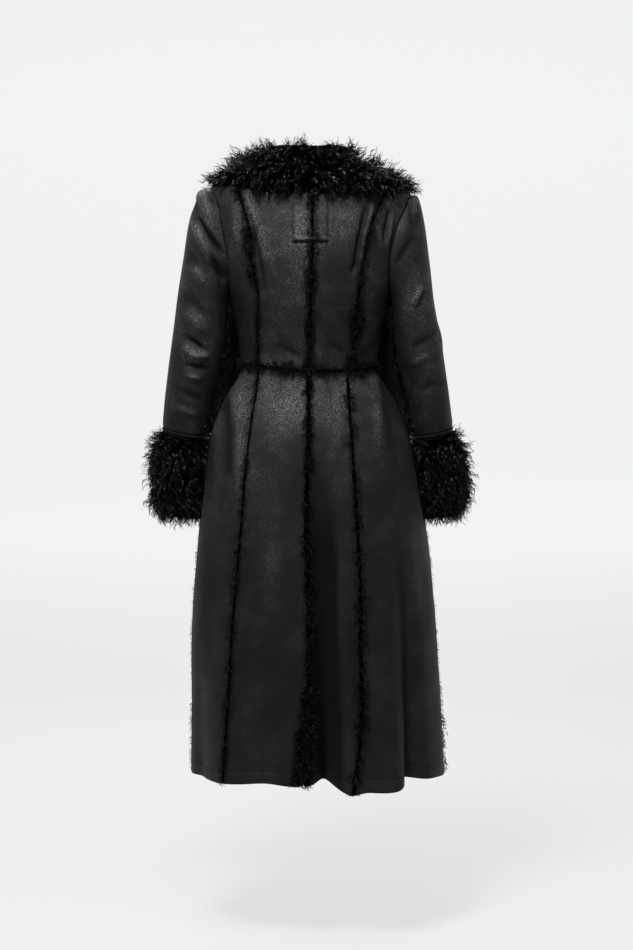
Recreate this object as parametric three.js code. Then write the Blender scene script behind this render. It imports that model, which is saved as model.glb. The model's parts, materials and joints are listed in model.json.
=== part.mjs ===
// Long coat in its worn form, with a fur collar, fur cuffs and fur strips along its seams.
// Millimetres, Z up, the front faces -Y. The origin is the middle of the neck opening,
// level with the points where the shoulder seams meet the neck.
// "Left" is the wearer's left, which is +X.
import * as THREE from "three";

// Sizes
const WALL = 3;
const SEAM_HALF_GAP = 0.15;
const ARMHOLE_GAP = 0.4;
const STRIP_LIFT = 0.8;
const COLLAR_LIFT = 1.4;
const NECK_HALF_WIDTH = 78;
const NECK_BACK_DROP = 15;
const NECK_FRONT_DROP = 163.5;
const SHOULDER_TIP = -55;
const ARMPIT = -272;
const WAIST = -400;
const HEM = -1228;
const VENT_TOP = -1030;
const WAIST_BAND = 7;
const ARM_STEPS = 12;
const SLEEVE_COLUMNS = 2 * ARM_STEPS;
const CUFF_COLUMNS = 28;
const SLEEVE_SEAM_COLUMN = 10;
const WAIST_SECTIONS = 52;

// Body form: one row a level, with half width, depth behind and before, and sideways sway.
const BODY = table(["z", "half", "back", "front", "sway"], [
  [60, 66, 58, 60, -2],
  [0, 78, 62, 70, -2],
  [-15, 112, 75, 74, -2],
  [-30, 150, 82, 78, -2],
  [-42, 181, 88, 82, -2],
  [-55, 203, 95, 88, -1],
  [-80, 212, 106, 98, -1],
  [-116, 211, 116, 112, -3],
  [-187, 197, 124, 132, -2],
  [-230, 180, 122, 142, -1],
  [-272, 162, 118, 146, 0],
  [-330, 147, 104, 134, 1],
  [-400, 138, 92, 116, 2],
  [-471, 176, 112, 122, 1],
  [-552, 203, 140, 136, 0],
  [-674, 221, 158, 150, -3],
  [-796, 236, 168, 160, -6],
  [-958, 248, 178, 170, -8],
  [-1121, 253, 184, 178, -13],
  [-1228, 256, 192, 186, -14],
]);

// Seams and edges, as sideways places at each level.
const SIDE_BACK = table(["z", "left", "right"], [
  [-28, 141, -143],
  [-40, 150, -152],
  [-65, 139, -145],
  [-126, 123, -121],
  [-187, 118, -108],
  [-268, 103, -96],
  [-349, 105, -89],
  [-400, 104, -75],
  [-532, 119, -82],
  [-633, 129, -88],
  [-796, 142, -97],
  [-918, 152, -99],
  [-1080, 160, -101],
  [-1228, 167, -83],
]);
const CENTRE_BACK = table(["z", "left", "right"], [
  [-15, -5, -5],
  [-126, -5, -5],
  [-268, -1, -1],
  [-400, 2, 2],
  [-532, 2, 2],
  [-674, 6, 6],
  [-796, 4, 4],
  [-918, 2, 2],
  [-1030, 1.4, 1.4],
  [-1100, 7, 1],
  [-1228, 20, 4],
]);
const ARMHOLE = table(["z", "backLeft", "backRight", "front"], [
  [-55, 202, 204, 202],
  [-80, 187, 196, 190],
  [-116, 181, 179, 172],
  [-150, 174, 168, 160],
  [-187, 168, 161, 155],
  [-230, 166, 160, 156],
  [-272, 162, 162, 162],
]);
const FRONT_GAP = table(["z", "half"], [
  [-163, 2],
  [-420, 2],
  [-1228, 18],
]);

// Folds of the skirt: angle from the centre back, spread, push at the hem, lift of the hem
// there, and the level where the fold starts.
const FOLDS = [
  { angle: -3.5, spread: 4.8, push: -54, lift: 9, start: -560 },
  { angle: -15, spread: 6, push: 13, lift: -14, start: -640 },
  { angle: -25, spread: 7, push: 0, lift: -8, start: -640 },
  { angle: -34.5, spread: 9, push: 24, lift: -10, start: -700 },
  { angle: -50, spread: 6.5, push: -38, lift: 5, start: -760 },
  { angle: -80, spread: 10, push: 4, lift: -1, start: -760 },
  { angle: 24, spread: 9, push: -13, lift: 3, start: -800 },
  { angle: 46, spread: 9, push: 9, lift: -1, start: -700 },
  { angle: 70, spread: 9, push: -10, lift: 1, start: -820 },
  { angle: 108, spread: 9, push: -14, lift: 2, start: -620 },
  { angle: 130, spread: 10, push: 12, lift: -1, start: -620 },
  { angle: 152, spread: 9, push: -16, lift: 2, start: -560 },
  { angle: -108, spread: 9, push: -12, lift: 1, start: -680 },
  { angle: -129, spread: 10, push: 13, lift: -1, start: -620 },
  { angle: -150, spread: 9, push: -17, lift: 2, start: -560 },
];

// Sleeve rings from the armhole to the wrist: outermost and innermost points, the ring's
// middle and half depth from front to back, how much lower its back is, how far it still
// follows the armhole, a raised welt at the end, and how far the cloth hangs in towards
// the body on the front of its inner side.
const SLEEVE = table(
  ["step", "left", "right", "outZ", "inside", "inZ", "y", "depth", "tilt", "share", "welt", "full"],
  [
    [0, 203, 203, -55, 162, -272, -6, 72, 0, 1, 0, 0],
    [1, 233, 218, -66, 163, -283, -2, 71, 0, 0.6, 0, 0],
    [2, 246, 232, -118, 163.5, -296, -3, 70, 0, 0.25, 0, 18],
    [3, 257, 241, -185, 164, -315, -5, 68, 0, 0, 0, 34],
    [4, 269, 251, -262, 166, -345, -9, 64, 0, 0, 0, 52],
    [5, 281, 266, -345, 171, -392, -18, 60, 1, 0, 0, 62],
    [6, 291, 278, -425, 182, -440, -30, 57, 3, 0, 0, 60],
    [7, 299, 288, -490, 196, -492, -42, 54, 5, 0, 0, 36],
    [7.7, 302, 292, -520, 205, -535, -50, 52, 7, 0, 0, 6],
    [7.78, 302, 292, -524, 206, -540, -51, 52, 7, 0, 2, 0],
    [7.92, 302, 293, -529, 208, -548, -53, 51, 7, 0, 2, 0],
    [8, 303, 293, -532, 209, -552, -54, 51, 8, 0, 0, 0],
  ],
);
const FULLEST_TURN = 240;
const FULL_SPREAD = 37;
const SLEEVE_STEPS = [0, 0.5, 1, 1.5, 2, 3, 4, 5, 6, 7, 7.7, 7.78, 7.92, 8];

// Cuff rings from the sleeve's end down, with the depth of the fur over the cuff's core.
const CUFF = table(
  ["step", "left", "right", "outZ", "inside", "inZ", "y", "depth", "tilt", "fur"],
  [
    [0, 303, 293, -532.6, 209, -552.6, -54, 51, 8, 0],
    [0.4, 304, 295, -543, 210, -563, -57, 51, 8, 11],
    [1, 305, 298, -560, 211, -580, -62, 51, 8, 18],
    [2, 308, 302, -588, 214, -608, -69, 50, 7, 25],
    [3, 309, 306, -622, 217, -641, -78, 49, 6, 28],
    [4, 309, 307, -656, 219, -673, -87, 48, 5, 27],
    [5, 309, 307, -686, 220, -700, -94, 47, 4, 20],
    [6, 307, 306, -706, 221, -716, -99, 46, 3, 6],
  ],
);
const CUFF_WALL = 4;
const CUFF_OUTSIDE = [0, 0.4, 1, 1.7, 2.4, 3.1, 3.9, 4.7, 5.4, 6];
const CUFF_INSIDE = [5.8, 3, 0];

// Collar: place round the neck (0 centre back, 1 side, 2 centre front), the outer edge's
// angle and level on each side, the stand above the neck seam and the depth of the fur.
const COLLAR = table(
  ["place", "angle", "outLeft", "outRight", "stand", "furLeft", "furRight"],
  [
    [0, 0, -58, -58, 59, 36, 36],
    [0.25, 13, -58, -61, 58, 37, 36],
    [0.5, 26, -57, -62, 56, 40, 36],
    [0.7, 41, -50, -59, 53, 44, 31],
    [0.85, 57, -47, -54, 48, 46, 27],
    [1, 90, -47, -49, 44, 46, 27],
    [1.12, 122, -62, -64, 38, 43, 29],
    [1.3, 133, -98, -100, 30, 38, 33],
    [1.5, 142, -144, -146, 24, 32, 31],
    [1.75, 149, -188, -188, 18, 27, 27],
    [1.97, 158, -214, -214, 12, 20, 20],
  ],
);
const COLLAR_STATIONS = 27;
// Stations stand closer together where the collar turns over the shoulder.
const COLLAR_PLACES = table(["share", "place"], [
  [0, 0],
  [0.36, 0.8],
  [0.48, 0.95],
  [0.6, 1.04],
  [0.74, 1.14],
  [0.84, 1.32],
  [1, 1.97],
]);
const COLLAR_STAND_SHARE = 0.45;
const COLLAR_OUTSIDE = [
  { along: 0, share: 0.4 },
  { along: 0.12, share: 0.78 },
  { along: 0.28, share: 0.98 },
  { along: 0.45, share: 1.05 },
  { along: 0.62, share: 1.0 },
  { along: 0.78, share: 0.92 },
  { along: 0.9, share: 0.76 },
  { along: 1, share: 0.5 },
];
const COLLAR_INSIDE = [1, 0.88, 0.76, 0.64, 0.54, 0.45, 0.2];

// Rows of the panels, from the neck down.
const SHOULDER_ROWS = [-1.5, -6, -11, -15, -17, -28, -40];
const ARM_ROWS = steps(ARM_STEPS).map((share) => armLevel(share));
const LOWER_ROWS = [-310, -355, WAIST + WAIST_BAND, WAIST + SEAM_HALF_GAP];
const BODICE_ROWS = [...SHOULDER_ROWS, ...ARM_ROWS, ...LOWER_ROWS];
const SKIRT_ROWS = [
  WAIST - SEAM_HALF_GAP, WAIST - WAIST_BAND, -440, -480, -530, -590, -660, -740,
  -830, -920, VENT_TOP, -1100, -1170, HEM,
];

const CLOTH_COLOUR = 0x2a2a2b;
const FUR_COLOUR = 0x121212;

const group = new THREE.Group();
group.name = "long_coat";

// Tables and small sums

function table(columns, rows) {
  const levels = rows.map((row) => row[0]);
  const rising = levels[levels.length - 1] > levels[0];
  const ordered = rising ? rows : [...rows].reverse();
  const places = ordered.map((row) => row[0]);
  return {
    at(column, place) {
      const index = columns.indexOf(column);
      return smoothValue(places, ordered.map((row) => row[index]), place);
    },
  };
}

// Smooth curve through a table's values that never swings past them.
function smoothValue(places, values, place) {
  const last = places.length - 1;
  if (place <= places[0]) return values[0];
  if (place >= places[last]) return values[last];
  let k = 0;
  while (place > places[k + 1]) k += 1;
  const width = places[k + 1] - places[k];
  const t = (place - places[k]) / width;
  const before = tangent(places, values, k) * width;
  const after = tangent(places, values, k + 1) * width;
  const rise = values[k + 1] - values[k];
  const bend = t * t * (3 - 2 * t);
  return values[k] + rise * bend + before * t * (1 - t) * (1 - t) - after * t * t * (1 - t);
}

function tangent(places, values, k) {
  const last = places.length - 1;
  const slope = (i) => (values[i + 1] - values[i]) / (places[i + 1] - places[i]);
  if (k === 0) return slope(0);
  if (k === last) return slope(last - 1);
  const before = slope(k - 1);
  const after = slope(k);
  if (before * after <= 0) return 0;
  return (2 * before * after) / (before + after);
}

function steps(count) {
  return Array.from({ length: count + 1 }, (unused, k) => k / count);
}

function mix(a, b, share) {
  return a + (b - a) * share;
}

function mixPoints(a, b, share) {
  return a.clone().lerp(b, share);
}

function radians(degrees) {
  return (degrees * Math.PI) / 180;
}

function armLevel(share) {
  const middle = (SHOULDER_TIP + ARMPIT) / 2;
  const reach = (SHOULDER_TIP - ARMPIT) / 2;
  return middle + reach * Math.cos(Math.PI * share);
}

// Uneven but fixed number from 0 to 1 for a lock of fur.
function lockValue(a, b) {
  const wave = Math.sin(a * 12.9898 + b * 78.233) * 43758.5453;
  return wave - Math.floor(wave);
}

// Body surface: the angle runs from 0 at the centre back to +-180 degrees at the front.

function foldShare(fold, angle, z) {
  const reach = THREE.MathUtils.clamp((fold.start - z) / (fold.start - HEM), 0, 1);
  let turn = (angle * 180) / Math.PI - fold.angle;
  if (turn > 180) turn -= 360;
  if (turn < -180) turn += 360;
  const across = turn / fold.spread;
  return Math.pow(reach, 1.25) * Math.exp(-across * across);
}

function waistDip(angle, z) {
  const behind = (1 + Math.cos(angle)) / 2;
  const near = (z - WAIST) / 110;
  return -14 * behind * behind * Math.exp(-near * near);
}

function surfacePoint(angle, z) {
  const half = BODY.at("half", z);
  const sine = Math.sin(angle);
  const cosine = Math.cos(angle);
  const depth = BODY.at(cosine > 0 ? "back" : "front", z);
  const outward = new THREE.Vector2(sine / half, cosine / depth).normalize();
  let push = 0;
  let lift = waistDip(angle, z);
  for (const fold of FOLDS) {
    const share = foldShare(fold, angle, z);
    push += fold.push * share;
    lift += fold.lift * share;
  }
  return new THREE.Vector3(
    BODY.at("sway", z) + half * sine + push * outward.x,
    depth * cosine + push * outward.y,
    z + lift,
  );
}

function surfaceNormal(angle, z) {
  const turn = 0.004;
  const drop = 0.5;
  const across = surfacePoint(angle + turn, z).sub(surfacePoint(angle - turn, z));
  const down = surfacePoint(angle, z - drop).sub(surfacePoint(angle, z + drop));
  return across.cross(down).normalize();
}

function stretch(angle, z) {
  const turn = 0.004;
  return surfacePoint(angle + turn, z).distanceTo(surfacePoint(angle - turn, z)) / (2 * turn);
}

// Angle of the point at a sideways place: frontSide is 0 behind, or the side's sign before.
function angleOf(x, z, frontSide) {
  const sine = (x - BODY.at("sway", z)) / BODY.at("half", z);
  const angle = Math.asin(THREE.MathUtils.clamp(sine, -1, 1));
  return frontSide === 0 ? angle : frontSide * Math.PI - angle;
}

// Edges of the panels, as the angle at each level.

function neckBackHalf(z) {
  const share = z / -NECK_BACK_DROP;
  return NECK_HALF_WIDTH * Math.sqrt(Math.max(0, 1 - share * share));
}

function neckFrontHalf(z) {
  const share = THREE.MathUtils.clamp(z / -NECK_FRONT_DROP, 0, 1);
  return NECK_HALF_WIDTH * (1 - Math.pow(share, 1.15));
}

function neckAngle(side, half, z, onFront) {
  return angleOf(BODY.at("sway", z) + side * half, z, onFront ? side : 0);
}

function centreBackEdge(side) {
  const column = side > 0 ? "left" : "right";
  return (z) => {
    if (z > -NECK_BACK_DROP) return neckAngle(side, neckBackHalf(z), z, false);
    return angleOf(CENTRE_BACK.at(column, z), z, 0);
  };
}

function sideBackEdge(side) {
  const column = side > 0 ? "left" : "right";
  const top = -NECK_BACK_DROP;
  const joint = -28;
  return (z) => {
    if (z >= top) return (side * Math.PI) / 2;
    const level = Math.min(z, joint);
    const below = angleOf(SIDE_BACK.at(column, level), level, 0);
    if (z < joint) return below;
    return mix((side * Math.PI) / 2, below, (z - top) / (joint - top));
  };
}

function armholeEdge(side, onFront) {
  const column = onFront ? "front" : side > 0 ? "backLeft" : "backRight";
  return (z) => {
    if (z >= SHOULDER_TIP - 0.01 || z <= ARMPIT + 0.01) return (side * Math.PI) / 2;
    return angleOf(side * ARMHOLE.at(column, z), z, onFront ? side : 0);
  };
}

function centreFrontEdge(side) {
  return (z) => {
    const gap = FRONT_GAP.at("half", z);
    const half = z > -NECK_FRONT_DROP ? Math.max(gap, neckFrontHalf(z)) : gap;
    return neckAngle(side, half, z, true);
  };
}

function sideEdge(side) {
  return () => (side * Math.PI) / 2;
}

// Panels

function columnAngles(from, to, z, reaches, count) {
  const span = to - from;
  const first = from + Math.min(reaches[0] / stretch(from, z), 0.3 * span);
  const last = to - Math.min(reaches[1] / stretch(to, z), 0.3 * span);
  const angles = [from];
  for (let k = 0; k < count - 2; k += 1) angles.push(mix(first, last, k / (count - 3)));
  angles.push(to);
  return angles;
}

function panelGrid(rows, start, end, count) {
  const grid = { z: rows, outer: [], normal: [] };
  for (const z of rows) {
    const slant = z > -70 ? 2 : 1;
    const from = start.edge(z) + (slant * start.gap) / stretch(start.edge(z), z);
    const to = end.edge(z) - (slant * end.gap) / stretch(end.edge(z), z);
    const angles = columnAngles(from, to, z, [start.reach, end.reach], count);
    grid.outer.push(angles.map((angle) => surfacePoint(angle, z)));
    grid.normal.push(angles.map((angle) => surfaceNormal(angle, z)));
  }
  return grid;
}

function innerGrid(grid) {
  return grid.outer.map((row, i) =>
    row.map((point, j) => point.clone().addScaledVector(grid.normal[i][j], -WALL)),
  );
}

// Closed solids

class Solid {
  constructor() {
    this.points = [];
    this.faces = [];
  }

  add(point) {
    this.points.push(point);
    return this.points.length - 1;
  }

  addRow(points) {
    return points.map((point) => this.add(point));
  }

  quad(a, b, c, d) {
    this.faces.push([a, b, c], [a, c, d]);
  }

  // Skin between two rows of point numbers; closed joins the ends of the rows too.
  skin(upper, lower, closed) {
    const count = closed ? upper.length : upper.length - 1;
    for (let j = 0; j < count; j += 1) {
      const next = (j + 1) % upper.length;
      this.quad(upper[j], lower[j], lower[next], upper[next]);
    }
  }

  fan(ring) {
    const centre = new THREE.Vector3();
    for (const index of ring) centre.add(this.points[index]);
    const middle = this.add(centre.divideScalar(ring.length));
    ring.forEach((index, k) => this.faces.push([middle, index, ring[(k + 1) % ring.length]]));
  }

  volume() {
    let sum = 0;
    for (const [a, b, c] of this.faces) {
      const side = this.points[b].clone().cross(this.points[c]);
      sum += this.points[a].dot(side) / 6;
    }
    return sum;
  }

  addTo(parent, name, colour, roughness) {
    if (this.volume() < 0) this.faces.forEach((face) => face.reverse());
    const geometry = new THREE.BufferGeometry();
    const numbers = this.points.flatMap((point) => [point.x, point.y, point.z]);
    geometry.setAttribute("position", new THREE.Float32BufferAttribute(numbers, 3));
    geometry.setIndex(this.faces.flat());
    geometry.computeVertexNormals();
    const material = new THREE.MeshStandardMaterial({ color: colour, roughness, metalness: 0 });
    const mesh = new THREE.Mesh(geometry, material);
    mesh.name = name;
    parent.add(mesh);
  }
}

function addCloth(solid, name) {
  solid.addTo(group, name, CLOTH_COLOUR, 0.85);
}

function addFur(solid, name) {
  solid.addTo(group, name, FUR_COLOUR, 1);
}

// Cloth panel: its outer points, the same points one wall inward, and a skin round the edge.
function addPanel(name, grid) {
  const solid = new Solid();
  const outer = grid.outer.map((row) => solid.addRow(row));
  const inner = innerGrid(grid).map((row) => solid.addRow(row));
  for (let i = 0; i + 1 < outer.length; i += 1) {
    solid.skin(outer[i], outer[i + 1], false);
    solid.skin(inner[i + 1], inner[i], false);
  }
  solid.skin(inner[0], outer[0], false);
  solid.skin(outer[outer.length - 1], inner[inner.length - 1], false);
  const column = (rows, j) => rows.map((row) => row[j]);
  const last = outer[0].length - 1;
  solid.skin(column(outer, 0), column(inner, 0), false);
  for (let i = 0; i + 1 < outer.length; i += 1) {
    solid.quad(outer[i][last], outer[i + 1][last], inner[i + 1][last], inner[i][last]);
  }
  addCloth(solid, name);
}

// Fur strips: a low ridge with an uneven crest, built on the points of the panels under it.

// One level of a seam: its middle, a point of the panel on each side, and the way out.
function seamLevel(z, middle, before, after, normal) {
  return { z, middle, before, after, normal };
}

// Seam between two panels whose lowest rows are level; the shorter one sets how many rows.
function seamBetween(first, second) {
  const count = Math.min(first.z.length, second.z.length);
  const levels = [];
  for (let back = count; back > 0; back -= 1) {
    const i = first.z.length - back;
    const k = second.z.length - back;
    const before = first.outer[i];
    const after = second.outer[k];
    const middle = mixPoints(before[before.length - 1], after[0], 0.5);
    const normal = second.normal[k][0];
    levels.push(seamLevel(first.z[i], middle, before[before.length - 2], after[1], normal));
  }
  return levels;
}

// Values of a seam at any level between its rows, on the flat faces between them.
function seamAt(levels, z) {
  let k = 0;
  while (k < levels.length - 2 && levels[k + 1].z > z) k += 1;
  const upper = levels[k];
  const lower = levels[k + 1];
  const share = THREE.MathUtils.clamp((z - upper.z) / (lower.z - upper.z), 0, 1);
  return seamLevel(
    z,
    mixPoints(upper.middle, lower.middle, share),
    mixPoints(upper.before, lower.before, share),
    mixPoints(upper.after, lower.after, share),
    mixPoints(upper.normal, lower.normal, share).normalize(),
  );
}

function levelsBetween(from, to, rows, pitch) {
  const margin = 0.02 * pitch;
  const kept = rows.filter((z) => z < from - margin && z > to + margin);
  const ends = [from, ...kept, to];
  const levels = [from];
  for (let k = 0; k + 1 < ends.length; k += 1) {
    const parts = Math.max(1, Math.round((ends[k] - ends[k + 1]) / pitch));
    for (let p = 1; p <= parts; p += 1) levels.push(mix(ends[k], ends[k + 1], p / parts));
  }
  return levels;
}

// Section of a strip: widths are shares of the way to the panel point on each side.
function stripSection(level, index, seed, widths, height) {
  const ragged = (k) => 0.72 + 0.28 * lockValue(index + k * 7, seed);
  const tall = height * (0.75 + 0.4 * lockValue(index, seed + 3));
  const place = (target, share, up) =>
    mixPoints(level.middle, target, share).addScaledVector(level.normal, STRIP_LIFT + up);
  const before = widths[0] * ragged(1);
  const after = widths[1] * ragged(2);
  return [
    place(level.before, before, 0),
    place(level.before, 0.72 * before, 0.62 * tall),
    place(level.before, 0.1 * before, tall),
    place(level.after, 0.72 * after, 0.66 * tall),
    place(level.after, after, 0),
    place(level.middle, 0, 0),
  ];
}

function addStrip(name, sections) {
  const solid = new Solid();
  const rings = sections.map((section) => solid.addRow(section));
  for (let i = 0; i + 1 < rings.length; i += 1) solid.skin(rings[i], rings[i + 1], true);
  solid.fan(rings[0]);
  solid.fan([...rings[rings.length - 1]].reverse());
  addFur(solid, name);
}

function addSeamStrip(name, levels, from, to, options) {
  const rows = levels.map((level) => level.z);
  const places = levelsBetween(from, to, rows, options.pitch);
  const sections = places.map((z, index) => {
    const width = options.width(z);
    return stripSection(seamAt(levels, z), index, options.seed, [width, width], options.height);
  });
  addStrip(name, sections);
}

// Strip on a free edge: from just inside the edge to the panel's second column.
function edgeLevels(grid, atStart) {
  return grid.z.map((z, i) => {
    const row = grid.outer[i];
    const edge = atStart ? row[0] : row[row.length - 1];
    const second = atStart ? row[1] : row[row.length - 2];
    const normal = atStart ? grid.normal[i][0] : grid.normal[i][row.length - 1];
    const middle = mixPoints(edge, second, 0.5);
    return seamLevel(z, middle, atStart ? edge : second, atStart ? second : edge, normal);
  });
}

// Body panels

const REACH = { centre: 8, sideBack: 14, side: 8, front: 8, plain: 8 };

function seamEnd(edge, reach) {
  return { edge, reach, gap: SEAM_HALF_GAP };
}

function freeEnd(edge, reach) {
  return { edge, reach, gap: 0 };
}

// Side end of the bodice: shoulder seam, then armhole, then side seam.
function bodiceSideEnd(side, onFront) {
  const arm = armholeEdge(side, onFront);
  return seamEnd(arm, REACH.plain);
}

function ordered(side, nearCentre, farther) {
  return side > 0 ? [nearCentre, farther] : [farther, nearCentre];
}

function makeBodice(side) {
  const count = { back: 8, side: 7, front: 11 };
  const centreBack = seamEnd(centreBackEdge(side), REACH.centre);
  const sideBack = seamEnd(sideBackEdge(side), REACH.sideBack);
  const front = freeEnd(centreFrontEdge(side), REACH.front);
  const sideRows = BODICE_ROWS.filter((z) => z <= -17);
  const back = ordered(side, centreBack, sideBack);
  const middle = ordered(side, sideBack, bodiceSideEnd(side, false));
  const fore = ordered(side, bodiceSideEnd(side, true), front);
  return {
    back: panelGrid(BODICE_ROWS, back[0], back[1], count.back),
    side: panelGrid(sideRows, middle[0], middle[1], count.side),
    front: panelGrid(BODICE_ROWS, fore[0], fore[1], count.front),
  };
}

function makeSkirt(side) {
  const count = side > 0 ? { back: 8, side: 9, front: 12 } : { back: 10, side: 13, front: 12 };
  const centreBack = seamEnd(centreBackEdge(side), REACH.centre);
  const sideBack = seamEnd(sideBackEdge(side), REACH.sideBack);
  const sideSeam = seamEnd(sideEdge(side), REACH.side);
  const front = freeEnd(centreFrontEdge(side), REACH.front);
  const back = ordered(side, centreBack, sideBack);
  const middle = ordered(side, sideBack, sideSeam);
  const fore = ordered(side, sideSeam, front);
  return {
    back: panelGrid(SKIRT_ROWS, back[0], back[1], count.back),
    side: panelGrid(SKIRT_ROWS, middle[0], middle[1], count.side),
    front: panelGrid(SKIRT_ROWS, fore[0], fore[1], count.front),
  };
}

const SIDES = [
  { sign: 1, name: "left" },
  { sign: -1, name: "right" },
];
const bodice = {};
const skirt = {};
for (const side of SIDES) {
  bodice[side.name] = makeBodice(side.sign);
  skirt[side.name] = makeSkirt(side.sign);
  for (const part of ["back", "side", "front"]) {
    addPanel("bodice_" + part + "_" + side.name, bodice[side.name][part]);
    addPanel("skirt_" + part + "_" + side.name, skirt[side.name][part]);
  }
}

// Sleeves

function ringPoint(values, turn, extra) {
  const middle = new THREE.Vector2((values.out + values.inside) / 2, (values.outZ + values.inZ) / 2);
  const arm = new THREE.Vector2(values.out - values.inside, values.outZ - values.inZ);
  const half = arm.length() / 2;
  const way = arm.normalize();
  const across = (half + extra) * Math.cos(turn);
  const deep = (values.depth + extra) * Math.sin(turn);
  return new THREE.Vector3(
    values.side * (middle.x + across * way.x),
    values.y + deep,
    middle.y + across * way.y - values.tilt * Math.sin(turn),
  );
}

function ringValues(source, step, side) {
  const column = side > 0 ? "left" : "right";
  const values = { side, out: source.at(column, step) };
  for (const name of ["outZ", "inside", "inZ", "y", "depth", "tilt"]) {
    values[name] = source.at(name, step);
  }
  return values;
}

// Points of the body round the armhole, from the shoulder tip back, down and up the front.
function armholeLoop(side) {
  const back = armholeEdge(side, false);
  const front = armholeEdge(side, true);
  const loop = [];
  for (let j = 0; j < SLEEVE_COLUMNS; j += 1) {
    const behind = j <= ARM_STEPS;
    const z = ARM_ROWS[behind ? j : SLEEVE_COLUMNS - j];
    const point = surfacePoint((behind ? back : front)(z), z);
    point.x += side * ARMHOLE_GAP;
    loop.push(point);
  }
  return loop;
}

function sleeveFullness(step, turn) {
  const away = ((turn * 180) / Math.PI - FULLEST_TURN) / FULL_SPREAD;
  return SLEEVE.at("full", step) * Math.exp(-away * away);
}

function sleeveRings(side) {
  const loop = armholeLoop(side);
  const start = ringValues(SLEEVE, 0, side);
  return SLEEVE_STEPS.map((step) => {
    const values = ringValues(SLEEVE, step, side);
    const share = SLEEVE.at("share", step);
    const welt = SLEEVE.at("welt", step);
    return loop.map((point, j) => {
      const turn = (2 * Math.PI * j) / SLEEVE_COLUMNS;
      const shift = point.clone().sub(ringPoint(start, turn, 0)).multiplyScalar(share);
      const placed = ringPoint(values, turn, welt).add(shift);
      placed.x -= side * sleeveFullness(step, turn);
      return placed;
    });
  });
}

// Way out of a tube's surface at each ring point, from the points round it.
function ringNormals(rings, side) {
  const last = rings.length - 1;
  return rings.map((ring, i) =>
    ring.map((point, j) => {
      const count = ring.length;
      const around = ring[(j + 1) % count].clone().sub(ring[(j + count - 1) % count]);
      const along = rings[Math.min(i + 1, last)][j].clone().sub(rings[Math.max(i - 1, 0)][j]);
      return along.cross(around).multiplyScalar(side).normalize();
    }),
  );
}

function addSleeve(side) {
  const rings = sleeveRings(side.sign);
  const normals = ringNormals(rings, side.sign);
  const solid = new Solid();
  const outer = rings.map((ring) => solid.addRow(ring));
  const inner = rings.map((ring, i) =>
    solid.addRow(ring.map((point, j) => point.clone().addScaledVector(normals[i][j], -WALL))),
  );
  for (let i = 0; i + 1 < outer.length; i += 1) {
    solid.skin(outer[i], outer[i + 1], true);
    solid.skin(inner[i + 1], inner[i], true);
  }
  solid.skin(inner[0], outer[0], true);
  solid.skin(outer[outer.length - 1], inner[inner.length - 1], true);
  addCloth(solid, "sleeve_" + side.name);
  addSleeveStrip(side, rings, normals);
}

function addSleeveStrip(side, rings, normals) {
  const j = SLEEVE_SEAM_COLUMN;
  const neighbours = side.sign > 0 ? [j - 1, j + 1] : [j + 1, j - 1];
  const levels = rings.map((ring, i) =>
    seamLevel(-i, ring[j], ring[neighbours[0]], ring[neighbours[1]], normals[i][j]),
  );
  const options = { seed: 31 + side.sign, height: 6, pitch: 0.5, width: () => 0.55 };
  addSeamStrip("trim_sleeve_" + side.name, levels, -2.4, -9.9, options);
}

// Cuffs: a core with fur round it, thinner on the side that faces the skirt.

function cuffPoint(side, step, turn, extra, drop) {
  const point = ringPoint(ringValues(CUFF, step, side), turn, extra);
  point.z -= drop;
  return point;
}

function cuffFur(step, column, turn, seed) {
  const facing = Math.max(0, -Math.cos(turn));
  const locks = 0.86 + 0.3 * lockValue(column * 3 + Math.round(step * 2), seed);
  return CUFF.at("fur", step) * (1 - 0.65 * facing) * locks;
}

function addCuff(side) {
  const solid = new Solid();
  const columns = [];
  for (let j = 0; j < CUFF_COLUMNS; j += 1) {
    const turn = (2 * Math.PI * j) / CUFF_COLUMNS;
    const tip = 4 + 12 * lockValue(j, 5 + side.sign);
    const outside = CUFF_OUTSIDE.map((step) => {
      const drop = step > 5.9 ? tip : step > 5 ? 0.3 * tip : 0;
      return cuffPoint(side.sign, step, turn, cuffFur(step, j, turn, 9 + side.sign), drop);
    });
    const inside = CUFF_INSIDE.map((step) => cuffPoint(side.sign, step, turn, -CUFF_WALL, 0));
    columns.push(solid.addRow([...outside, ...inside]));
  }
  columns.forEach((column, j) => solid.skin(column, columns[(j + 1) % CUFF_COLUMNS], true));
  addFur(solid, "cuff_fur_" + side.name);
}

for (const side of SIDES) {
  addSleeve(side);
  addCuff(side);
}

// Collar: a thick band of fur from its top edge down over the shoulders.

function necklineAt(place, side) {
  if (place <= 1) {
    const turn = (place * Math.PI) / 2;
    const z = -NECK_BACK_DROP * Math.cos(turn);
    return { z, angle: neckAngle(side, NECK_HALF_WIDTH * Math.sin(turn), z, false) };
  }
  const z = -NECK_FRONT_DROP * Math.pow(place - 1, 1.2);
  return { z, angle: neckAngle(side, Math.max(3, neckFrontHalf(z)), z, true) };
}

// Point of the collar: along runs from the top of the stand (0) to the outer edge (1).
function collarPoint(station, along, up) {
  if (along <= COLLAR_STAND_SHARE) {
    const rise = station.stand * (1 - along / COLLAR_STAND_SHARE);
    const level = station.neck.z + rise;
    const near = along / COLLAR_STAND_SHARE;
    return liftedPoint(station.neck.angle, level, up + COLLAR_LIFT * near);
  }
  const share = (along - COLLAR_STAND_SHARE) / (1 - COLLAR_STAND_SHARE);
  const angle = mix(station.neck.angle, station.angle, share);
  return liftedPoint(angle, mix(station.neck.z, station.out, share), up + COLLAR_LIFT);
}

function liftedPoint(angle, z, up) {
  return surfacePoint(angle, z).addScaledVector(surfaceNormal(angle, z), up);
}

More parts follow.
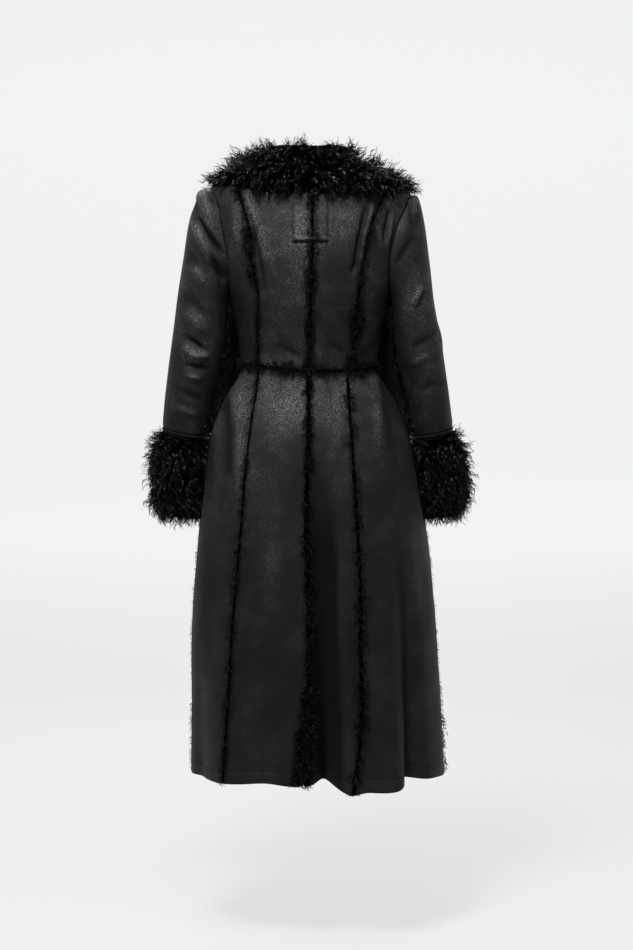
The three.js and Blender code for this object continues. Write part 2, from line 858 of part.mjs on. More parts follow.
function collarStation(place, index) {
  const side = place < 0 ? -1 : 1;
  const name = side > 0 ? "Left" : "Right";
  const far = Math.abs(place);
  const shoulder = Math.exp(-Math.pow((far - 1) / 0.16, 2));
  const jag = (1 - shoulder) * 6 * lockValue(index, 17);
  return {
    neck: necklineAt(far, side),
    angle: side * radians(COLLAR.at("angle", far)),
    out: COLLAR.at("out" + name, far) - jag,
    stand: COLLAR.at("stand", far) + 5 * (lockValue(index, 23) - 0.5),
    fur: COLLAR.at("fur" + name, far),
  };
}

// Soft relief of the locks round the collar.
function lockRelief(far, row, side) {
  const shift = side < 0 ? 2.4 : 0;
  const long = Math.sin(17 * far + 1.9 * row + shift);
  const short = Math.sin(43 * far + 3.1 * row + 2 * shift);
  return 1 + 0.05 * long + 0.04 * short;
}

function addCollar() {
  const solid = new Solid();
  const rings = [];
  for (let k = -COLLAR_STATIONS; k <= COLLAR_STATIONS; k += 1) {
    const far = COLLAR_PLACES.at("place", Math.abs(k) / COLLAR_STATIONS);
    const station = collarStation(Math.sign(k) * far, k);
    const outside = COLLAR_OUTSIDE.map(({ along, share }, m) => {
      return collarPoint(station, along, station.fur * share * lockRelief(far, m, k));
    });
    const inside = COLLAR_INSIDE.map((along) => collarPoint(station, along, 0));
    const top = collarPoint(station, 0, 2);
    rings.push(solid.addRow([...outside, ...inside, top]));
  }
  for (let i = 0; i + 1 < rings.length; i += 1) solid.skin(rings[i], rings[i + 1], true);
  solid.fan(rings[0]);
  solid.fan([...rings[rings.length - 1]].reverse());
  addFur(solid, "collar_fur");
}

addCollar();

// Fur along the seams

const WAIST_TOP = WAIST + WAIST_BAND + 0.6;
const WAIST_BOTTOM = WAIST - WAIST_BAND - 0.6;

// Side-back strips are wider where the pile is thick.
function sideBackWidth(thick) {
  return (z) => 0.5 + 0.42 * Math.exp(-Math.pow((z - thick) / 45, 2));
}

function plainWidth() {
  return 0.85;
}

function addBodiceStrips() {
  const centre = seamBetween(bodice.right.back, bodice.left.back);
  const narrow = { seed: 2, height: 7, pitch: 24, width: plainWidth };
  addSeamStrip("trim_bodice_centre_back", centre, -68, WAIST_TOP, narrow);
  const left = seamBetween(bodice.left.back, bodice.left.side);
  const leftOptions = { seed: 3, height: 8, pitch: 24, width: sideBackWidth(-195) };
  addSeamStrip("trim_bodice_side_back_left", left, -60, WAIST_TOP, leftOptions);
  const right = seamBetween(bodice.right.side, bodice.right.back);
  const rightOptions = { seed: 4, height: 8, pitch: 24, width: sideBackWidth(-290) };
  addSeamStrip("trim_bodice_side_back_right", right, -70, WAIST_TOP, rightOptions);
}

function addSkirtStrips() {
  for (const side of SIDES) {
    const { back, side: middle, front } = skirt[side.name];
    const nearBack = side.sign > 0 ? seamBetween(back, middle) : seamBetween(middle, back);
    const atSide = side.sign > 0 ? seamBetween(middle, front) : seamBetween(front, middle);
    const backOptions = { seed: 6 + side.sign, height: 7, pitch: 42, width: () => 0.55 };
    const sideOptions = { seed: 12 + side.sign, height: 7, pitch: 52, width: plainWidth };
    const bottom = HEM + 2;
    addSeamStrip("trim_skirt_side_back_" + side.name, nearBack, WAIST_BOTTOM, bottom, backOptions);
    addSeamStrip("trim_side_" + side.name, atSide, WAIST_BOTTOM, bottom, sideOptions);
  }
}

// Centre back of the skirt: one strip down to the vent, then one leg on each edge of it.
function addVentStrip() {
  const seam = seamBetween(skirt.right.back, skirt.left.back);
  const places = levelsBetween(WAIST_BOTTOM, HEM + 2, seam.map((level) => level.z), 34);
  const solid = new Solid();
  let previous = null;
  places.forEach((z, index) => {
    const whole = z > VENT_TOP - 1;
    const rows = solid.addRow(ventSection(seam, z, index, whole));
    const current = whole ? wholeLoops(rows) : { right: rows.slice(0, 4), left: rows.slice(4) };
    if (previous === null) {
      solid.fan(current.outline);
    } else if (whole) {
      solid.skin(previous.outline, current.outline, true);
    } else {
      solid.skin(previous.right, current.right, true);
      solid.skin(previous.left, current.left, true);
    }
    previous = current;
  });
  solid.fan([...previous.right].reverse());
  solid.fan([...previous.left].reverse());
  addFur(solid, "trim_skirt_centre_back");
}

// Loops of one whole section: all of it, and the half that each leg goes on from.
function wholeLoops([base, shoulder, crest, middle, farShoulder, farBase]) {
  return {
    outline: [base, shoulder, crest, farShoulder, farBase, middle],
    right: [base, shoulder, crest, middle],
    left: [middle, crest, farShoulder, farBase],
  };
}

// Whole: outer base, shoulder, crest, middle base, shoulder, outer base.
// Split: the same four points on each leg, from its outer base to its inner base.
function ventSection(seam, z, index, whole) {
  const level = seamAt(seam, z);
  const tall = 7 * (0.75 + 0.4 * lockValue(index, 61));
  const wide = 0.62 + 0.28 * lockValue(index, 62);
  const lift = (point, up) => point.clone().addScaledVector(level.normal, STRIP_LIFT + up);
  const part = (edge, target, share, up) => lift(mixPoints(edge, target, share), up);
  if (whole) {
    return [
      part(level.middle, level.before, wide, 0),
      part(level.middle, level.before, 0.7 * wide, 0.65 * tall),
      lift(level.middle, tall),
      lift(level.middle, 0),
      part(level.middle, level.after, 0.7 * wide, 0.65 * tall),
      part(level.middle, level.after, wide, 0),
    ];
  }
  const right = ventEdge(skirt.right.back, z, false);
  const left = ventEdge(skirt.left.back, z, true);
  return [
    part(right.edge, right.second, wide, 0),
    part(right.edge, right.second, 0.7 * wide, 0.65 * tall),
    part(right.edge, right.second, 0.06, 0.8 * tall),
    part(right.edge, right.second, 0.04, 0),
    part(left.edge, left.second, 0.04, 0),
    part(left.edge, left.second, 0.06, 0.8 * tall),
    part(left.edge, left.second, 0.7 * wide, 0.65 * tall),
    part(left.edge, left.second, wide, 0),
  ];
}

function ventEdge(grid, z, atStart) {
  let k = 0;
  while (k < grid.z.length - 2 && grid.z[k + 1] > z) k += 1;
  const share = THREE.MathUtils.clamp((z - grid.z[k]) / (grid.z[k + 1] - grid.z[k]), 0, 1);
  const pick = (row, fromEdge) => row[atStart ? fromEdge : row.length - 1 - fromEdge];
  const between = (fromEdge) =>
    mixPoints(pick(grid.outer[k], fromEdge), pick(grid.outer[k + 1], fromEdge), share);
  return { edge: between(0), second: between(1) };
}

// Front edges: one strip a side, over bodice and skirt.
function addFrontStrips() {
  for (const side of SIDES) {
    const atStart = side.sign < 0;
    const upper = edgeLevels(bodice[side.name].front, atStart);
    const lower = edgeLevels(skirt[side.name].front, atStart);
    const options = { seed: 20 + side.sign, height: 7, pitch: 52, width: () => 0.86 };
    addSeamStrip("trim_front_" + side.name, [...upper, ...lower], -236, HEM + 2, options);
  }
}

// Waist: one strip round the back, from just inside one front edge to the other.
function addWaistStrip() {
  const ends = SIDES.map((side) => {
    const edge = centreFrontEdge(side.sign)(WAIST);
    return edge - (side.sign * REACH.front) / stretch(edge, WAIST);
  });
  const sections = steps(WAIST_SECTIONS).map((share, index) => {
    const angle = mix(ends[1], ends[0], share);
    const level = seamLevel(
      WAIST,
      surfacePoint(angle, WAIST),
      surfacePoint(angle, WAIST + WAIST_BAND),
      surfacePoint(angle, WAIST - WAIST_BAND),
      surfaceNormal(angle, WAIST),
    );
    return stripSection(level, index, 51, [0.95, 0.95], 7);
  });
  addStrip("trim_waist", sections);
}

addBodiceStrips();
addSkirtStrips();
addVentStrip();
addFrontStrips();
addWaistStrip();

export default group;
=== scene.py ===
# %% [markdown]
# # A long coat with a curly fur collar, cuffs and seams
# The coat is cut from brushed black suede-like hide and shown in its hollow worn form, from behind.
# Its panels are thin walls, and curly fur stands along the seams, round the collar and on the cuffs.
# The cells below build each piece the way a maker would: cloth first, then fur, then sewing.
# All tables are in millimetres and degrees; meshes are written in metres.

# %% Load the frame that every piece has to fit
import json

import bmesh
import bpy
import numpy as np
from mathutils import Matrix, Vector

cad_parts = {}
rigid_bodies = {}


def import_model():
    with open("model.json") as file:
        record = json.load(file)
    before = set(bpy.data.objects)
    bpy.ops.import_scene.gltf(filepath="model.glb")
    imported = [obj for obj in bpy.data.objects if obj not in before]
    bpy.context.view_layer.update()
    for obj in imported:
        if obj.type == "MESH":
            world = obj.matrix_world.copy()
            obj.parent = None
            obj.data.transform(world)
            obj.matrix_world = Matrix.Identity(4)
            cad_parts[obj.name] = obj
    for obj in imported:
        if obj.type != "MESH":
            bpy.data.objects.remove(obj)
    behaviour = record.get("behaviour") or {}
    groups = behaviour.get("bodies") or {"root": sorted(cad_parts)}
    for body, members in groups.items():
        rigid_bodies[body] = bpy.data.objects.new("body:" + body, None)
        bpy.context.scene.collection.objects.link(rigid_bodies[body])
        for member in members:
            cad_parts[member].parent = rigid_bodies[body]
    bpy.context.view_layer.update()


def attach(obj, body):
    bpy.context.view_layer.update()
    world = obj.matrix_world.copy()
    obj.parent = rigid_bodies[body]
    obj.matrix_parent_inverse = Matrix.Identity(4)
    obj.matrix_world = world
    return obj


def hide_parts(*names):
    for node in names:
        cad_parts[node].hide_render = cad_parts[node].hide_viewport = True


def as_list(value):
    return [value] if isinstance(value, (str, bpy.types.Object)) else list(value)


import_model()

MM = 0.001
BODY_NAME = "root"

# %% [markdown]
# ## Camera, light and floor
# The picture is taken from straight behind the wearer, from about chest height and a little downward,
# with a long lens, so the coat keeps its true proportions. A soft key from above on one side,
# a wide fill and a pale curved backdrop give the even studio light without a horizon line.
# The floor lies where the wearer would stand, because the coat itself hangs above it.

# %% Camera
CAMERA_PLACE = (-0.013, 4.5, -0.46)
CAMERA_TARGET = (-0.013, 0.0, -0.623)
LENS_MM, SENSOR_MM = 84.0, 36.0


def linked(name, data, place=(0.0, 0.0, 0.0)):
    """New object in the scene."""
    thing = bpy.data.objects.new(name, data)
    thing.location = place
    bpy.context.scene.collection.objects.link(thing)
    return thing


def aim(thing, target):
    way = Vector(target) - thing.location
    thing.rotation_euler = way.to_track_quat("-Z", "Y").to_euler()


camera_data = bpy.data.cameras.new("camera")
camera_data.lens = LENS_MM
camera_data.sensor_width = SENSOR_MM
camera = linked("camera", camera_data, CAMERA_PLACE)
aim(camera, CAMERA_TARGET)
bpy.context.scene.camera = camera
print("camera at", tuple(camera.location))

# %% Lights
LIGHTS = {
    "key": {"place": (0.6, 2.1, 2.2), "size": 0.9, "power": 88.0},
    "fill": {"place": (-2.2, 2.4, 1.4), "size": 1.3, "power": 5.0},
    "top": {"place": (0.1, 1.1, 2.1), "size": 1.0, "power": 16.0},
    "front": {"place": (0.5, -3.2, 1.6), "size": 2.4, "power": 45.0},
}
LIGHT_TARGET = (0.0, 0.0, -0.6)
WORLD_LIGHT = 0.13
WHITE = (1.0, 1.0, 1.0, 1.0)


def add_area_light(name, place, size, power):
    data = bpy.data.lights.new("light_" + name, "AREA")
    data.shape = "DISK"
    data.size = size
    data.energy = power
    aim(linked("light_" + name, data, place), LIGHT_TARGET)


for name, row in LIGHTS.items():
    add_area_light(name, **row)
world = bpy.data.worlds.new("studio")
bpy.context.scene.world = world
world.use_nodes = True
sky = world.node_tree.nodes["Background"]
sky.inputs["Color"].default_value = WHITE
sky.inputs["Strength"].default_value = WORLD_LIGHT
bpy.context.scene.view_settings.view_transform = "Standard"
print("lights:", ", ".join(LIGHTS))

# %% Floor and backdrop
FLOOR_LEVEL = -1.551
SWEEP_START = -3.2
SWEEP_RADIUS = 2.4
SWEEP_TOP = 4.5
STAGE_HALF_WIDTH = 7.0
STAGE_NEAR = 0.45


def backdrop_profile():
    """Side view of the sweep: flat floor, a quarter round, then a straight wall."""
    profile = [(STAGE_NEAR, FLOOR_LEVEL), (0.0, FLOOR_LEVEL)]
    for angle in np.linspace(0.0, np.pi / 2, 17):
        y = SWEEP_START - SWEEP_RADIUS * np.sin(angle)
        z = FLOOR_LEVEL + SWEEP_RADIUS * (1.0 - np.cos(angle))
        profile.append((y, z))
    profile.append((SWEEP_START - SWEEP_RADIUS, SWEEP_TOP))
    return profile


def add_backdrop():
    profile = backdrop_profile()
    points = [(x, y, z) for y, z in profile for x in (-STAGE_HALF_WIDTH, STAGE_HALF_WIDTH)]
    faces = [(2 * k, 2 * k + 1, 2 * k + 3, 2 * k + 2) for k in range(len(profile) - 1)]
    mesh = bpy.data.meshes.new("backdrop")
    mesh.from_pydata(points, [], faces)
    mesh.shade_smooth()
    backdrop = linked("backdrop", mesh)
    return backdrop


backdrop = add_backdrop()
print("backdrop faces:", len(backdrop.data.polygons))

# %% [markdown]
# ### Trees of nodes
# Materials, and later the fur and the sewing, are all trees of nodes. One small base adds a node, sets
# its values and links its sockets, so each tree below reads as a short list of steps.

# %% Helpers that add and link nodes
def socket_of(sockets, name):
    return next(socket for socket in sockets if socket.enabled and socket.name == name)


class Nodes:
    """A tree of nodes with short calls to add nodes and join them."""

    def feed(self, socket, value):
        if isinstance(value, bpy.types.NodeSocket):
            self.tree.links.new(value, socket)
        else:
            socket.default_value = value

    def add(self, kind, settings=None, **inputs):
        node = self.tree.nodes.new(kind)
        for key, value in (settings or {}).items():
            setattr(node, key, value)
        for key, value in inputs.items():
            self.feed(socket_of(node.inputs, key.replace("_", " ")), value)
        return node

    def math(self, operation, first, second):
        node = self.add("ShaderNodeMath", {"operation": operation})
        self.feed(node.inputs[0], first)
        self.feed(node.inputs[1], second)
        return node.outputs[0]


class Shader(Nodes):
    """The node tree of a material."""

    def __init__(self, name):
        self.material = bpy.data.materials.new(name)
        self.material.use_nodes = True
        self.tree = self.material.node_tree

    def here(self):
        return self.add("ShaderNodeTexCoord").outputs["Object"]

    def noise(self, **inputs):
        return self.add("ShaderNodeTexNoise", **inputs).outputs["Fac"]

    def blend(self, factor, first, second):
        node = self.add("ShaderNodeMix", {"data_type": "RGBA"})
        for socket, value in ((0, factor), (6, first), (7, second)):
            self.feed(node.inputs[socket], value)
        return node.outputs[2]

    def ramp(self, factor, stops):
        node = self.tree.nodes.new("ShaderNodeValToRGB")
        self.feed(node.inputs[0], factor)
        for element, (place, grey) in zip(node.color_ramp.elements, stops):
            element.position = place
            element.color = (grey, grey, grey, 1.0)
        return node.outputs["Color"]

    def finish(self, values):
        for name, value in values.items():
            self.feed(self.tree.nodes["Principled BSDF"].inputs[name], value)
        return self.material


print("node helpers ready")

# %% Paper of the backdrop
PAPER_COLOUR = (0.26, 0.26, 0.26, 1.0)
WALL_GLOW, FLOOR_GLOW, GLOW_RISE = 0.77, 0.63, 0.5


def paper_material():
    shader = Shader("backdrop_paper")
    height = shader.add("ShaderNodeSeparateXYZ", Vector=shader.here()).outputs["Z"]
    glow = shader.add(
        "ShaderNodeMapRange", Value=height, From_Min=FLOOR_LEVEL, From_Max=FLOOR_LEVEL + GLOW_RISE,
        To_Min=FLOOR_GLOW, To_Max=WALL_GLOW,
    )
    return shader.finish({
        "Base Color": PAPER_COLOUR, "Roughness": 0.9, "Specular IOR Level": 0.1,
        "Emission Color": WHITE, "Emission Strength": glow.outputs["Result"],
    })


backdrop.data.materials.append(paper_material())
print("paper:", PAPER_COLOUR[0], "glow of wall and floor:", WALL_GLOW, FLOOR_GLOW)

# %% [markdown]
# ## Small tools for tables and surfaces
# A coat has few driving sizes: half widths and depths at some levels, and where its seams run.
# They stand in short tables with named columns. A smooth curve that never swings past
# its values joins the rows, so a fine mesh can be made from a few numbers.

# %% Tables with named columns
def tangents(places, values):
    """Slopes at the rows: the harmonic mean of both sides, or none where the curve turns."""
    slope = np.diff(values) / np.diff(places)
    result = np.zeros(len(values))
    result[0], result[-1] = slope[0], slope[-1]
    before, after = slope[:-1], slope[1:]
    same_way = before * after > 0
    total = np.where(same_way, before + after, 1.0)
    result[1:-1] = np.where(same_way, 2.0 * before * after / total, 0.0)
    return result


class Table:
    """Named columns that can be read at any place between their rows."""

    def __init__(self, columns, rows):
        data = np.array(sorted(rows), dtype=float)
        self.places = data[:, 0]
        self.values = {name: data[:, k] for k, name in enumerate(columns)}
        self.slopes = {name: tangents(self.places, column) for name, column in self.values.items()}

    def at(self, column, place):
        place = np.clip(place, self.places[0], self.places[-1])
        k = np.clip(np.searchsorted(self.places, place) - 1, 0, len(self.places) - 2)
        values, slopes = self.values[column], self.slopes[column]
        width = self.places[k + 1] - self.places[k]
        t = (place - self.places[k]) / width
        bend = t * t * (3.0 - 2.0 * t)
        start = slopes[k] * width * t * (1.0 - t) ** 2
        end = slopes[k + 1] * width * t * t * (1.0 - t)
        return values[k] + (values[k + 1] - values[k]) * bend + start - end


def uneven(a, b):
    """Uneven but fixed number from 0 to 1."""
    wave = np.sin(np.asarray(a) * 12.9898 + np.asarray(b) * 78.233) * 43758.5453
    return wave - np.floor(wave)


def bell(value, middle, reach, power=2):
    """One at the middle, falling softly to nothing past the reach."""
    return np.exp(-(((value - middle) / reach) ** power))


def unit(vectors):
    return vectors / np.maximum(np.linalg.norm(vectors, axis=-1, keepdims=True), 1e-9)


print("table check:", float(Table(["z", "x"], [[0, 0], [10, 5]]).at("x", 5)))

# %% Body form, seams and folds
WALL = 3.0
SEAM_HALF_GAP = 0.15
ARMHOLE_GAP = 0.4
NECK_HALF_WIDTH = 78.0
NECK_BACK_DROP = 15.0
NECK_FRONT_DROP = 163.5
SHOULDER_TIP = -55.0
TIP_REACH, LEFT_TIP_LIFT = 24.0, 8.0
ARMPIT = -272.0
WAIST, WAIST_DIP, DIP_REACH = -400.0, 14.0, 110.0
HEM = -1228.0
VENT_TOP = -1030.0

BODY = Table(["z", "half", "back", "front", "sway"], [
    [60, 66, 58, 60, -2],
    [0, 78, 62, 70, -2],
    [-15, 112, 75, 74, -2],
    [-30, 150, 82, 78, -2],
    [-42, 181, 88, 82, -2],
    [-55, 203, 95, 88, -1],
    [-80, 212, 106, 98, -1],
    [-116, 211, 116, 112, -3],
    [-187, 197, 124, 132, -2],
    [-230, 180, 122, 142, -1],
    [-272, 162, 118, 146, 0],
    [-330, 147, 104, 134, 1],
    [-400, 138, 92, 116, 2],
    [-471, 176, 112, 122, 1],
    [-552, 203, 140, 136, 0],
    [-674, 221, 158, 150, -3],
    [-796, 236, 168, 160, -6],
    [-958, 248, 178, 170, -8],
    [-1121, 253, 184, 178, -13],
    [-1228, 256, 192, 186, -14],
])
SIDE_BACK = Table(["z", "left", "right"], [
    [-28, 141, -143],
    [-40, 150, -152],
    [-65, 139, -145],
    [-126, 123, -121],
    [-187, 118, -108],
    [-268, 103, -96],
    [-349, 105, -89],
    [-400, 104, -75],
    [-532, 119, -82],
    [-633, 129, -88],
    [-796, 142, -97],
    [-918, 152, -99],
    [-1080, 160, -101],
    [-1228, 167, -83],
])
CENTRE_BACK = Table(["z", "left", "right"], [
    [-15, -5, -5],
    [-126, -5, -5],
    [-268, -1, -1],
    [-400, 2, 2],
    [-532, 2, 2],
    [-674, 6, 6],
    [-796, 4, 4],
    [-918, 2, 2],
    [-1030, 1.4, 1.4],
    [-1100, 7, 1],
    [-1228, 20, 4],
])
ARMHOLE = Table(["z", "back_left", "back_right", "front"], [
    [-55, 202, 204, 202],
    [-80, 187, 196, 190],
    [-116, 181, 179, 172],
    [-150, 174, 168, 160],
    [-187, 168, 161, 155],
    [-230, 166, 160, 156],
    [-272, 162, 162, 162],
])
FRONT_GAP = Table(["z", "half"], [
    [-163, 2],
    [-420, 2],
    [-1228, 18],
])
# Folds of the skirt: angle from the centre back, spread, push at the hem, lift there, start level.
FOLDS = [
    [-3.5, 4.8, -54, 9, -560],
    [-15, 6, 13, -14, -640],
    [-25, 7, 0, -8, -640],
    [-34.5, 9, 24, -10, -700],
    [-50, 6.5, -38, 5, -760],
    [-80, 10, 4, -1, -760],
    [24, 9, -13, 3, -800],
    [46, 9, 9, -1, -700],
    [70, 9, -10, 1, -820],
    [108, 9, -14, 2, -620],
    [130, 10, 12, -1, -620],
    [152, 9, -16, 2, -560],
    [-108, 9, -12, 1, -680],
    [-129, 10, 13, -1, -620],
    [-150, 9, -17, 2, -560],
]
print("folds:", len(FOLDS), "coat length mm:", -HEM)


# %% Surface of the worn coat
# Small steps that give the slopes: radians round, millimetres down.
SMALL_TURN, SMALL_DROP = 0.004, 0.5


def fold_share(where, spread, start, angle, z):
    reach = np.clip((start - z) / (start - HEM), 0.0, 1.0)
    turn = (np.degrees(angle) - where + 180.0) % 360.0 - 180.0
    return reach ** 1.25 * bell(turn, 0.0, spread)


def surface(angle, z):
    """Point of the coat's outside: the angle runs from 0 behind to +-180 degrees in front."""
    angle, z = np.broadcast_arrays(np.asarray(angle, float), np.asarray(z, float))
    half = BODY.at("half", z)
    sine, cosine = np.sin(angle), np.cos(angle)
    depth = np.where(cosine > 0, BODY.at("back", z), BODY.at("front", z))
    outward = unit(np.stack([sine / half, cosine / depth], axis=-1))
    push = np.zeros_like(z)
    behind = (1.0 + cosine) / 2.0
    lift = -WAIST_DIP * behind ** 2 * bell(z, WAIST, DIP_REACH)
    lift = lift + LEFT_TIP_LIFT * np.clip(sine, 0.0, 1.0) ** 4 * bell(z, SHOULDER_TIP, TIP_REACH)
    for where, spread, hem_push, hem_lift, start in FOLDS:
        share = fold_share(where, spread, start, angle, z)
        push = push + hem_push * share
        lift = lift + hem_lift * share
    x = BODY.at("sway", z) + half * sine + push * outward[..., 0]
    y = depth * cosine + push * outward[..., 1]
    return np.stack([x, y, z + lift], axis=-1)


def step_across(angle, z):
    """The way from a little before an angle to a little after it."""
    return surface(angle + SMALL_TURN, z) - surface(angle - SMALL_TURN, z)


def surface_ways(angle, z):
    """Unit directions on the surface: across (growing angle), down, and out of the cloth."""
    across = step_across(angle, z)
    down = surface(angle, z - SMALL_DROP) - surface(angle, z + SMALL_DROP)
    return unit(across), unit(down), unit(np.cross(across, down))


def stretch(angle, z):
    """Millimetres of cloth for each radian of angle."""
    return np.linalg.norm(step_across(angle, z), axis=-1) / (2.0 * SMALL_TURN)


def side_name(side):
    return "left" if side > 0 else "right"


def angle_of(x, z, front_side=0):
    sine = (x - BODY.at("sway", z)) / BODY.at("half", z)
    angle = np.arcsin(np.clip(sine, -1.0, 1.0))
    return angle if front_side == 0 else front_side * np.pi - angle


print("waist round mm:", round(float(stretch(np.linspace(-np.pi, np.pi, 200), WAIST).mean() * 2 * np.pi)))


# %% Edges of the panels, as the angle at each level
# From the neck down to this level the side-back seam swings in from the ridge of the shoulder.
SEAM_SWING_END = -28.0


def neck_front_half(z):
    share = np.clip(z / -NECK_FRONT_DROP, 0.0, 1.0)
    return NECK_HALF_WIDTH * (1.0 - share ** 1.15)


def neck_angle(side, half, z, on_front):
    return angle_of(BODY.at("sway", z) + side * half, z, side if on_front else 0)


def centre_back_edge(side, z):
    rise = np.sqrt(np.maximum(0.0, 1.0 - (z / NECK_BACK_DROP) ** 2))
    on_neck = neck_angle(side, NECK_HALF_WIDTH * rise, z, False)
    return np.where(z > -NECK_BACK_DROP, on_neck, angle_of(CENTRE_BACK.at(side_name(side), z), z))


def side_back_edge(side, z):
    top = -NECK_BACK_DROP
    level = np.minimum(z, SEAM_SWING_END)
    below = angle_of(SIDE_BACK.at(side_name(side), level), level)
    share = np.clip((z - top) / (SEAM_SWING_END - top), 0.0, 1.0)
    return side * np.pi / 2 * (1.0 - share) + below * share


def armhole_edge(side, z, on_front):
    column = "front" if on_front else "back_" + side_name(side)
    edge = angle_of(side * ARMHOLE.at(column, z), z, side if on_front else 0)
    inside = (z < SHOULDER_TIP - 0.01) & (z > ARMPIT + 0.01)
    return np.where(inside, edge, side * np.pi / 2)


def centre_front_edge(side, z):
    gap = FRONT_GAP.at("half", z)
    half = np.where(z > -NECK_FRONT_DROP, np.maximum(gap, neck_front_half(z)), gap)
    return neck_angle(side, half, z, True)


def side_edge(side, z):
    return side * np.pi / 2 + 0.0 * z


seam_at_waist = np.degrees(side_back_edge(1, np.array([WAIST]))[0])
print("side-back seam at the waist, degrees:", round(float(seam_at_waist), 1))

# %% [markdown]
# ## Creases, worn places and painted light of the cloth
# Heavy hide bends in a few soft troughs with a ridge beside each. A cloth simulation would smooth
# away their character, so each crease is placed one by one: a line from one point to another,
# as seen from behind or in front, with its own width and depth. The same kind of table places
# the brushed, lighter spots that rubbing leaves on high places, which are also painted highlights
# where the light falls on them.

# %% Crease tables
# Each row: x1, z1, x2, z2 (both ends of the crease), width, depth.
BODY_CREASES_BEHIND = [
    [126, -57, 110, -120, 9, 3.4],
    [117, -110, 92, -250, 7, -3.6],
    [98, -150, 78, -215, 12, 1.8],
    [-111, -96, -91, -203, 7, -6.2],
    [-91, -203, -83, -218, 6, -3.0],
    [-125, -84, -108, -142, 6, 4.4],
    [-108, -142, -99, -195, 6, 4.0],
    [-158, -96, -147, -153, 4.5, -4.2],
    [-163, -108, -152, -170, 5, 3.6],
    [-135, -130, -144, -168, 5, 2.8],
    [-26, -160, -19, -195, 7, 1.6],
    [150, -92, 146, -150, 9, 2.2],
    [-14, -368, -22, -394, 8, 2.4],
    [82, -330, 70, -352, 10, 1.8],
    [60, -366, 22, -384, 7, -2.0],
    [-40, -362, -66, -376, 7, -2.2],
    [120, -384, 98, -366, 8, -2.6],
    [-104, -380, -128, -362, 8, -2.6],
    [177, -452, 168, -610, 13, -6.0],
    [142, -450, 139, -640, 12, 3.4],
    [182, -500, 186, -690, 14, 3.2],
    [-158, -440, -172, -600, 15, -4.2],
    [-128, -420, -140, -560, 13, 2.6],
    [60, -410, 66, -470, 11, -2.2],
    [-40, -410, -44, -475, 12, -2.4],
    [24, -560, 34, -700, 18, -1.8],
    [-54, -620, -48, -820, 20, -2.6],
    [70, -700, 84, -900, 22, 2.4],
    [196, -760, 206, -1000, 22, -3.0],
    [-196, -720, -206, -900, 20, 2.8],
]
BODY_CREASES_BEFORE = [
    [150, -80, 118, -150, 9, 3.2],
    [138, -90, 104, -176, 8, -4.6],
    [-146, -84, -112, -158, 9, 3.0],
    [-134, -96, -98, -186, 8, -4.2],
    [112, -230, 70, -268, 12, 2.6],
    [-112, -236, -76, -276, 12, 2.4],
    [118, -330, 84, -380, 9, -3.2],
    [-116, -326, -80, -378, 9, -3.4],
    [60, -352, 26, -386, 8, -2.6],
    [-58, -356, -24, -388, 8, -2.2],
    [128, -430, 138, -580, 13, -4.6],
    [-126, -430, -140, -600, 14, -4.0],
    [88, -420, 92, -520, 12, 2.4],
    [-86, -418, -94, -530, 12, 2.8],
    [168, -640, 178, -860, 20, -3.2],
    [-164, -660, -176, -900, 20, 2.8],
    [52, -760, 58, -1010, 20, -2.6],
    [-58, -740, -64, -960, 20, -2.2],
]
SLEEVE_CREASES_BEHIND = [
    [203, -56, 185, -88, 4.5, -3.8],
    [213, -70, 195, -120, 9, 5.0],
    [224, -112, 175, -176, 5.5, -6.6],
    [230, -120, 199, -192, 9, 5.2],
    [196, -190, 174, -226, 8, -5.6],
    [236, -204, 214, -232, 9, 3.8],
    [246, -168, 232, -196, 8, -2.6],
    [250, -262, 212, -300, 11, -2.6],
    [244, -300, 214, -330, 10, 2.6],
    [247, -346, 218, -366, 6, -4.6],
    [252, -362, 233, -383, 6, 4.8],
    [233, -383, 208, -382, 6, 4.6],
    [250, -400, 208, -407, 6, -3.8],
    [248, -421, 222, -427, 6, 3.8],
    [262, -452, 226, -470, 9, -3.0],
    [270, -486, 232, -500, 9, 2.6],
    [-206, -70, -221, -100, 6, 2.6],
    [-198, -78, -206, -118, 6, -2.8],
    [-220, -248, -210, -274, 6, 3.2],
    [-228, -256, -216, -288, 7, -2.4],
    [-256, -322, -262, -372, 9, 3.6],
    [-246, -340, -214, -362, 8, -2.6],
    [-242, -380, -208, -398, 8, 2.2],
    [-262, -432, -226, -450, 10, -2.4],
    [-206, -150, -176, -196, 9, -2.4],
]
SLEEVE_CREASES_BEFORE = [
    [206, -96, 180, -160, 7, -5.2],
    [222, -96, 196, -168, 9, 4.4],
    [-204, -96, -178, -166, 7, -5.0],
    [-220, -100, -194, -172, 9, 4.0],
    [186, -214, 232, -246, 9, -3.8],
    [-186, -208, -230, -244, 9, -3.4],
    [190, -330, 256, -356, 7, -6.0],
    [186, -356, 262, -372, 7, 4.6],
    [194, -384, 262, -390, 7, -5.2],
    [-190, -322, -252, -352, 7, -6.0],
    [-188, -348, -256, -370, 7, 4.4],
    [-196, -380, -258, -388, 7, -5.4],
    [206, -424, 266, -434, 9, 2.8],
    [-206, -420, -262, -432, 9, 3.0],
    [214, -462, 276, -480, 9, -3.0],
    [-212, -458, -270, -478, 9, -3.0],
]
print("creases of the body:", len(BODY_CREASES_BEHIND + BODY_CREASES_BEFORE))
print("creases of the sleeves:", len(SLEEVE_CREASES_BEHIND + SLEEVE_CREASES_BEFORE))


# %% Relief of the creases
CREASE_STRENGTH, SLEEVE_STRENGTH, CREASE_WIDTH = 1.5, 1.9, 0.85
FACING_SHARPNESS = 3.0


